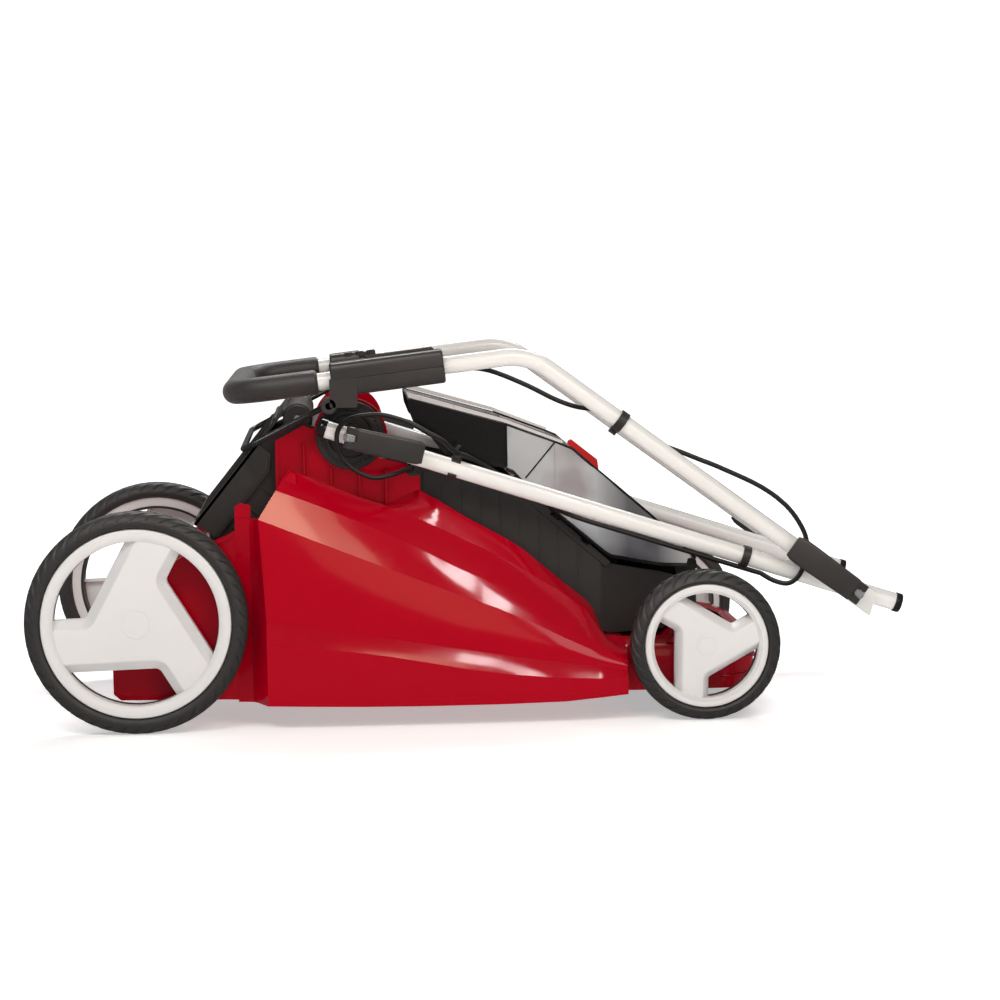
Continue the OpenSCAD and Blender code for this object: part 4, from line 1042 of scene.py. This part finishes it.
def half_shell(sign, width, height, corner):
    """The upper or the lower shell of the switch housing, its ends drawn in a little."""
    half = rounded([(-width, 0.15 * sign, 0.5), (-width, height * sign, corner),
                    (width, height * sign, corner), (width, 0.15 * sign, 0.5)], 1, 8)
    stations = [(HOUSING_FROM, 2.2), (HOUSING_FROM + 0.8, 0.8), (HOUSING_FROM + 2.4, 0),
                (HOUSING_TO - 2.4, 0), (HOUSING_TO - 0.8, 0.8), (HOUSING_TO, 2.2)]
    return Shape().loft([[on_grip(s, -ARM_Y + a * (1 - shrink / width), b * (1 - shrink / height))
                          for a, b in half] for s, shrink in stations])


def switch_housing():
    """Two shells around the right arm that part along its axis, and the block that holds the bail."""
    top = half_shell(1, 20, 19.2, 15)
    # Raised rib along the crown of the upper shell
    rib = rounded([(-4, -1), (-3, 0.7), (3, 0.7), (4, -1)], 1, 2)
    top.sweep([on_grip(s, -ARM_Y, 19) for s in (104, 106, 150, 180, 182)],
              lambda i: [p * (0.4 if i in (0, 4) else 1) for p in rib])
    top.make("switch_cover", "upper_handle", SATIN, "black_plastic", "switch_housing_top", bevel=0.5)

    low = half_shell(-1, 19.2, 19, 11)
    seam = pad(18.6, 0.8, 0.5, 2)
    low.loft([[on_grip(s, -ARM_Y + a, b) for a, b in seam] for s in (HOUSING_FROM + 1.5, HOUSING_TO - 1.5)])
    low.also(bail_block(-1))
    low.make("switch_base", "upper_handle", SATIN, "black_plastic", "switch_housing_bottom", bevel=0.6)


def bail_block(side):
    """The block under an arm in which the bail turns."""
    y0, y1 = (-230.8, -193) if side < 0 else (193, 230.8)
    shape = Shape().prism(rounded([(221, 362, 3), (221, 394), (252, 397), (252, 362, 3)], 2), y0, y1)
    shape.lathe([(3.95, y0), (8.2, y0), (9, y0 + 0.9), (9, y1 - 0.9), (8.2, y1), (3.95, y1)],
                (BAIL_PIN[0], 0, BAIL_PIN[2]), 40)
    return shape


def left_bracket():
    """The clamp on the left arm that holds the bail's other end, with its three pads."""
    shape = bail_block(1)
    clamp = rounded([(-16, -15, 9), (16, -15, 9), (16, 15, 12), (-16, 15, 12)], 8, 8)
    stations = [(184, 0.9), (185.5, 1.0), (220.5, 1.0), (222, 0.9)]
    shape.loft([[on_grip(s, ARM_Y + a * k, b * k) for a, b in clamp] for s, k in stations])
    for k in range(3):
        shape.loft([[on_grip(198 - 14 * k + a, ARM_Y - 12 + b, z) for a, b in pad(5, 3, 1.5, 3)]
                    for z in (8, 14)])
    shape.sweep([on_grip(s, ARM_Y - 12, 9) for s in (206, 190, 164)], lambda i: pad(4, 2, 1, 3))
    return shape.make("bail_holder_left", "upper_handle", SATIN, "black_plastic", "bail_bracket_left",
                      bevel=0.6)


BAIL_Y, BAIL_LEN, BAIL_DROP, BAIL_CORNER, BAIL_R = 188, 109, 26.8, 16, 3.5


def bail():
    """The start bail, one bent rod whose ends turn in the two blocks under the arms."""
    on_bail = ruler(BAIL_PIN, -1, -BAIL_DROP)
    half = [on_bail(0, -209), on_bail(0, -193.5), on_bail(1.8, -189.8), on_bail(5.5, -BAIL_Y)]
    half += [on_bail(s, -BAIL_Y) for s in (30, 60, BAIL_LEN - BAIL_CORNER - 2)]
    for k in range(9):
        a = math.radians(90 * k / 8)
        half.append(on_bail(BAIL_LEN - BAIL_CORNER + BAIL_CORNER * math.sin(a),
                            -BAIL_Y + BAIL_CORNER - BAIL_CORNER * math.cos(a)))
    path = half + [on_bail(BAIL_LEN, -100), on_bail(BAIL_LEN, 0), on_bail(BAIL_LEN, 100)]
    shape = Shape().rod(path + mirrored(half), BAIL_R, 18, end=1.5)
    return shape.make("bail_rod", "bail", ROD, "bail_rod", "start_bail", angle=60)


def button():
    """The safety button on the inner side of the switch housing."""
    centre = on_grip(190, -ARM_Y + 17.5, -8)
    shape = Shape().lathe([(0.01, 0), (7, 0), (7, 5.6), (6.2, 6.6), (4.5, 7), (0.01, 6.6)],
                          (centre.x, centre.y, centre.z), 36)
    return shape.make("start_button", "safety_button", BUTTON, "button_red", "safety_button", angle=50)


# ---------------------------------------------------------------- levers, bolts, clips
def lever(pivot, y, tilt, length, root, tip):
    """A cam lever. Its frame: u along it, v across it, w outward from the tube."""
    ahead, across = turned((1, 0, 0), -tilt, "Y"), turned((0, 0, 1), -tilt, "Y")
    outward = Vector((0, -1, 0))
    base = Vector((pivot[0], y, pivot[2]))

    def place(u, v, w):
        return base + ahead * u + across * v + outward * w

    shape = Shape()
    # The blade of the lever, a shallow curve with a thumb rest at its tip
    stations = []
    for k in range(15):
        t = k / 14
        u = 7 + (length - 7) * t
        width = root / 2 + 1 + (tip / 2 - root / 2 - 1) * min(1, t * 1.4)
        if t > 0.86:
            width *= math.sqrt(max(0.0, 1 - ((t - 0.86) / 0.16) ** 2)) * 0.35 + 0.65
        outer = 9.5 - 1.2 * t - 9.5 * max(0.0, t - 0.42) ** 1.5 * 1.7
        inner = -3.5 + 1.5 * math.sin(math.pi * min(1, t * 1.3))
        inner = min(inner, outer - 3.2)
        stations.append((u, width, outer, inner))
    rings = []
    for u, width, outer, inner in stations:
        mid, half = (outer + inner) / 2, (outer - inner) / 2
        section = rounded([(-width, -half, 1.2), (width, -half, 1.2), (width, half, 3.6),
                           (-width, half, 3.6)], 2, 4)
        rings.append([place(u, a, mid + b) for a, b in section])
    shape.loft(rings)
    # Two prongs that hold the barrel
    for side in (-1, 1):
        prong = [Vector((6.3 * math.cos(a), 6.3 * math.sin(a)))
                 for a in [math.radians(90 + 180 * k / 10) for k in range(11)]]
        prong += [Vector((12, -7.5)), Vector((12, 8.5)), Vector((4, 8))]
        inside, outside = side * 4.7, side * (root / 2)
        shape.loft([[place(p.x, v, p.y) for p in prong] for v in (inside, outside)])
    return shape


def cam_bolt(pivot, y_in, y_out, tilt, collars):
    """The bolt of a pivot with its nut, its barrel and the block the lever pulls on."""
    cx, cz = pivot[0], pivot[2]
    shape = Shape().lathe([(0.01, y_out - 2), (4, y_out - 2), (4, y_in), (0.01, y_in)], (cx, 0, cz), 24)
    across = turned((0, 0, 1), -tilt, "Y")
    centre = Vector((cx, y_out, cz))
    shape.rod([centre + across * v for v in (-12.5, -6, 6, 12.5)], 3.5, 18, end=0.8)
    # Nut on the inside, and the polished block between the prongs
    nut = [(cx + p.x, cz + p.y) for p in circle(7.5, 6)]
    shape.prism(nut, y_in - 6, y_in)
    ahead = turned((1, 0, 0), -tilt, "Y")
    block = rounded([(-4.6, -4.2), (5.4, -4.2), (5.4, 4.2), (-4.6, 4.2)], 1.2, 4)
    outs = [(-4.5, 0.96), (-3.5, 1), (4.6, 1), (5.4, 0.9)]
    shape.loft([[centre + ahead * a * k + across * b * k + Vector((0, -w, 0)) for a, b in block]
                for w, k in outs])
    for radius, a, b in collars:
        ring = [(4, a), (radius - 0.8, a), (radius, a + 0.8), (radius, b - 0.8), (radius - 0.8, b), (4, b)]
        shape.lathe(ring, (cx, 0, cz), 48)
    return shape


LOWER_PIN_Y, UPPER_PIN_Y = -211.5, -229
LOWER_TILT = -13.5


def levers_and_bolts():
    low = lever(LOW_PIVOT, LOWER_PIN_Y, LOWER_TILT, 84, 24, 27)
    up = lever(UP_PIVOT, UPPER_PIN_Y, -180 - ARM_RISE, 92, 25, 30)
    low_bolt = cam_bolt(LOW_PIVOT, BRACKET_Y + PLATE + 6.5, LOWER_PIN_Y, LOWER_TILT, [(8, -204.8, -193.7)])
    up_bolt = cam_bolt(UP_PIVOT, -LOWER_Y + TUBE_R + 7, UPPER_PIN_Y, 180 - ARM_RISE,
                       [(11, -200.9, -194.2), (9, -222, -210.2)])
    both_sides((low, "low_cam_{}", "lower_lever_{}", SATIN, "black_plastic", "lower_lever_{}", 0.5, 40),
               (up, "up_cam_{}", "upper_lever_{}", SATIN, "black_plastic", "upper_lever_{}", 0.5, 40),
               (low_bolt, "low_bolt_{}", "lower_handle_{}", STEEL, "steel", "lower_bolt_{}", 0.4, 40))
    Shape().both(up_bolt).make("up_bolts", "upper_handle", STEEL, "steel", "upper_bolts", bevel=0.4, angle=40)


def clips():
    """Bands that tie the cable to the lower tube and to the arm."""
    shape = Shape()
    # Two saddles that hug the tube from above and from below
    for start, end, width in ((-70, 48, 11), (128, 200, 10)):
        angles = [math.radians(start + (end - start) * k / 12) for k in range(13)]
        edge = [(TUBE_R + 2.4, a) for a in angles] + [(TUBE_R, a) for a in reversed(angles)]
        shape.loft([[along_lower(122 + shift, -LOWER_Y - r * math.sin(a), r * math.cos(a)) for r, a in edge]
                    for shift in (-width / 2, width / 2)])
    shape.pipe([along_lower(465.5, -LOWER_Y), along_lower(474.5, -LOWER_Y)], TUBE_R + 2.4, TUBE_R)
    holder = rounded([(-5, -7, 2), (5, -7, 2), (5, 6, 4), (-5, 6, 4)], 2, 4)
    shape.loft([[along_lower(122 + a, -LOWER_Y + b + 2, h) for a, b in holder]
                for h in (TUBE_R + 1.5, TUBE_R + 9)])
    shape.loft([[along_lower(119 + a + (h - 20) * 0.35, -LOWER_Y + b + 4, h) for a, b in pad(2, 5, 1, 3)]
                for h in (18, 26)])
    shape.make("cable_holders", "lower_handle_right", BLACK, "dark_plastic", "lower_cable_clips", bevel=0.4)
    arm = Shape().pipe([along_arm(326, -ARM_Y), along_arm(336, -ARM_Y)], TUBE_R + 2.4, TUBE_R)
    arm.loft([[along_arm(331 + a, -ARM_Y + b + 6, -h) for a, b in pad(4.5, 3, 1, 3)]
              for h in (TUBE_R + 1.5, TUBE_R + 7)])
    arm.make("arm_band", "upper_handle", BLACK, "dark_plastic", "upper_cable_clip", bevel=0.4)


# ---------------------------------------------------------------- cable
LOOP_Y, GAP_Y = -199.5, -197.6
CABLE_D = 5.5
DECK_LOOP = [(312, -178, 289), (304, -188, 288), (290, -197, 284), (270, LOOP_Y, 281), (253, LOOP_Y, 287),
             (239, LOOP_Y, 298), (231, LOOP_Y, 311), (228, LOOP_Y, 324), (230, LOOP_Y, 336),
             (238, LOOP_Y, 345), (251, LOOP_Y, 350), (276, LOOP_Y, 352), (297, LOOP_Y, 347),
             (314, LOOP_Y, 340), (331, LOOP_Y, 330)]
LOWER_RUN = [(331, LOOP_Y, 330), (347, -197, 321), (361, -190, 308), (378, -181, 300), (398, -172, 288),
             (424, -169, 270), (452, -171, 251), (478, -176, 238), (505, -184, 227.4), (560, -184, 209.4),
             (615, -184, 191.4), (670, -184, 173.4), (708, -184, 161.2)]
JOINT_LOOP = [(708, -184, 161.2), (722, -187, 153), (737, -194, 150), (749, GAP_Y, 158), (757, GAP_Y, 176),
              (759, GAP_Y, 197), (752, GAP_Y, 217), (735, GAP_Y, 240), (706, GAP_Y, 262), (661, GAP_Y, 284),
              (637, GAP_Y, 294), (614.6, GAP_Y, 303.4), (595.3, GAP_Y, 310.7), (581.2, GAP_Y, 317.1),
              (568, GAP_Y, 324.3)]
UPPER_RUN = [(568, GAP_Y, 324.3), (555.7, GAP_Y, 332.9), (546.9, GAP_Y, 339.5), (538.1, GAP_Y, 346.1),
             (524, GAP_Y, 352.5), (500, GAP_Y, 356), (475, GAP_Y, 365), (440, GAP_Y, 383), (401, GAP_Y, 399),
             (370, GAP_Y, 403), (349.5, GAP_Y, 402)]


def cables():
    """The cable in four stretches; the two loops run between the bodies they join and are attached to none of
    them.
    """
    def stretch(name, points, body, node):
        shape = Shape().rod(smooth_line(points, 5), CABLE_D / 2, 14)
        return shape.make(name, body, CABLE, "cable_black", node, angle=60)

    stretch("cable_along_tube", LOWER_RUN, "lower_handle_right", "cable_lower_run")
    stretch("cable_along_arm", UPPER_RUN, "upper_handle", "cable_upper_run")
    low = stretch("cable_round_drum", DECK_LOOP, None, "cable_deck_loop")
    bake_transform(low)
    up = stretch("cable_round_joint", JOINT_LOOP, None, "cable_joint_loop")
    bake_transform(up)


# ---------------------------------------------------------------- what stays as in the frame
def carried_over():
    """Nodes whose CAD shape is kept, each with its material and how much its edges are softened."""
    for material, bevel, names in (
            (BLACK, 1.5, "battery_pack_right battery_pack_left"), (BLACK, 1.2, "axle_clamps"),
            (BLACK, 0.8, "battery_tray discharge_chute"), (BLACK, 0.6, "cable_gland blade_carrier"),
            (BLACK, 0.5, "key_socket"), (BOARD, 0.3, "control_board"), (KEY, 0.8, "safety_key"),
            (CAN, 1.0, "motor"), (DARK_STEEL, 0.4, "blade"),
            (STEEL, 0.5, "rear_axle front_axle flap_rod motor_shaft blade_bolt housing_screws")):
        for node in names.split():
            keep(node, material, bevel)


# ---------------------------------------------------------------- floor, light, camera
def brighter_far_out(material, near, far):
    """The floor's own glow grows with the distance from the mower, so that it meets a white background."""
    nodes, links = material.node_tree.nodes, material.node_tree.links
    place, length, ramp = [nodes.new(kind) for kind in ("ShaderNodeTexCoord", "ShaderNodeVectorMath",
                                                         "ShaderNodeMapRange")]
    length.operation = "LENGTH"
    for socket, value in (("From Min", near), ("From Max", far), ("To Min", 0.42), ("To Max", 1.0)):
        ramp.inputs[socket].default_value = value
    links.new(place.outputs["Object"], length.inputs[0])
    links.new(length.outputs["Value"], ramp.inputs["Value"])
    links.new(ramp.outputs["Result"], nodes["Principled BSDF"].inputs["Emission Strength"])


def staged(name, profile, material, segments=64):
    """A round piece of the studio from its profile of radius and height."""
    mesh = bpy.data.meshes.new(name)
    turn = 2 * math.pi / segments
    verts = [(r * math.cos(k * turn), r * math.sin(k * turn), z) for r, z in profile for k in range(segments)]
    mesh.from_pydata(verts, [], wraps(segments, len(profile)))
    mesh.materials.append(material)
    piece = bpy.data.objects.new(name, mesh)
    bpy.context.scene.collection.objects.link(piece)
    piece.visible_glossy = False
    return piece


def backdrop():
    """A wide pale floor, and a white dome far behind it that only the camera sees."""
    brighter_far_out(FLOOR, 1.6, 3.6)
    staged("floor", [(r, 0.0) for r in (0.01, 1, 2, 4, 8, 16, 32)], FLOOR)
    white = surface("dome_white", (1, 1, 1), 1.0, drift=0.0, uneven=0.0, grain=0.0,
                    Emission_Color=(1, 1, 1, 1), Emission_Strength=1.0)
    dome = staged("dome", [(p.x, p.y - 0.5) for p in arc(32, 0, 90, 9)], white)
    dome.visible_diffuse = dome.visible_transmission = dome.visible_shadow = False


def softbox(name, place, target, width, height, watts, tint=(1, 1, 1), along=(0, 0, 1)):
    """An area light, placed and aimed in millimetres from the rear axle, its height along a direction."""
    light = bpy.data.lights.new(name, "AREA")
    light.shape = "RECTANGLE"
    light.size, light.size_y, light.energy = width, height, watts
    light.color = tint
    lamp = bpy.data.objects.new(name, light)
    lamp.location = spot(*place)
    back = (lamp.location - spot(*target)).normalized()
    across = Vector(along).cross(back).normalized()
    lamp.rotation_euler = Matrix((across, back.cross(across), back)).transposed().to_euler()
    lamp.visible_camera = False
    bpy.context.scene.collection.objects.link(lamp)


def studio():
    """Soft light from the front left and above, in a dim room, with narrow strips for the glossy fenders."""
    world = bpy.data.worlds.new("studio")
    bpy.context.scene.world = world
    world.use_nodes = True
    world.node_tree.nodes["Background"].inputs["Color"].default_value = (1, 1, 1, 1)
    world.node_tree.nodes["Background"].inputs["Strength"].default_value = 0.16
    bpy.context.scene.view_settings.view_transform = "Standard"
    middle = (373, 0, 200)
    softbox("key", (-700, -2300, 2500), middle, 1.5, 1.1, 42)
    softbox("fill", (1500, -2500, 1300), middle, 0.9, 0.9, 8)
    softbox("rear", (600, 1700, 2500), (373, 300, 100), 2.2, 1.0, 55)
    warm = (1, 0.74, 0.52)
    softbox("strip_front", (1125, -1270, 1570), (385, -197, 153), 0.09, 0.26, 2.6,
            along=(0.396, 0.817, 0.421))
    softbox("strip_low", (1130, -2560, 2560), (394, -221, 71), 0.11, 0.26, 2.9, along=(0.15, 0.73, 0.665))
    softbox("side_glow", (624, -1645, 1210), (183, -196, 238), 0.3, 0.42, 2.2, warm)
    softbox("side_core", (560, -1680, 1185), (163, -196, 245), 0.17, 0.42, 2.2, warm)
    softbox("face_glow", (600, -2090, 750), (330, -210, 110), 0.5, 0.36, 0.8, (1, 0.6, 0.4))


def camera():
    """The photograph's viewing angle: slightly from above, nearly square to the mower's right side."""
    yaw, pitch, roll = math.radians(3.27), math.radians(4.9), math.radians(-0.97)
    forward = Vector((math.sin(yaw) * math.cos(pitch), math.cos(yaw) * math.cos(pitch), -math.sin(pitch)))
    right = Vector((math.cos(yaw), -math.sin(yaw), 0))
    up = right.cross(forward)
    side = right * math.cos(roll) + up * math.sin(roll)
    top = up * math.cos(roll) - right * math.sin(roll)
    data = bpy.data.cameras.new("camera")
    data.lens, data.sensor_width = 104.7, 36
    view = bpy.data.objects.new("camera", data)
    turn = Matrix((side, top, -forward)).transposed()
    view.matrix_world = Matrix.Translation(spot(224, -3462, 533)) @ turn.to_4x4()
    bpy.context.scene.collection.objects.link(view)
    bpy.context.scene.camera = view


def handle():
    body = "lower_handle_{}"
    both_sides((lower_tube(), "low_tube_{}", body, TUBE, "tube_paint", "lower_tube_{}", 0.4, 40),
               (tube_caps(), "caps_{}", body, GLOSS_BLACK, "dark_plastic", "tube_caps_{}", 0.0, 50))
    handle_tube()
    foam()
    switch_housing()
    left_bracket()
    bail()
    button()
    levers_and_bolts()
    clips()


def brackets_and_drums():
    both_sides((bracket(), "bracket_{}", "deck", RED, "deck_red", "handle_bracket_{}", 0.7, 28),
               (drum(), "drum_{}", "deck", BLACK, "dark_plastic", "pivot_drum_{}", 0.5, 28))


camera()
cables()
deck()
brackets_and_drums()
flap()
chute_sides()
housing()
cover_body()
cover_glazing()
cover_details()
wheels()
handle()
carried_over()
backdrop()
studio()
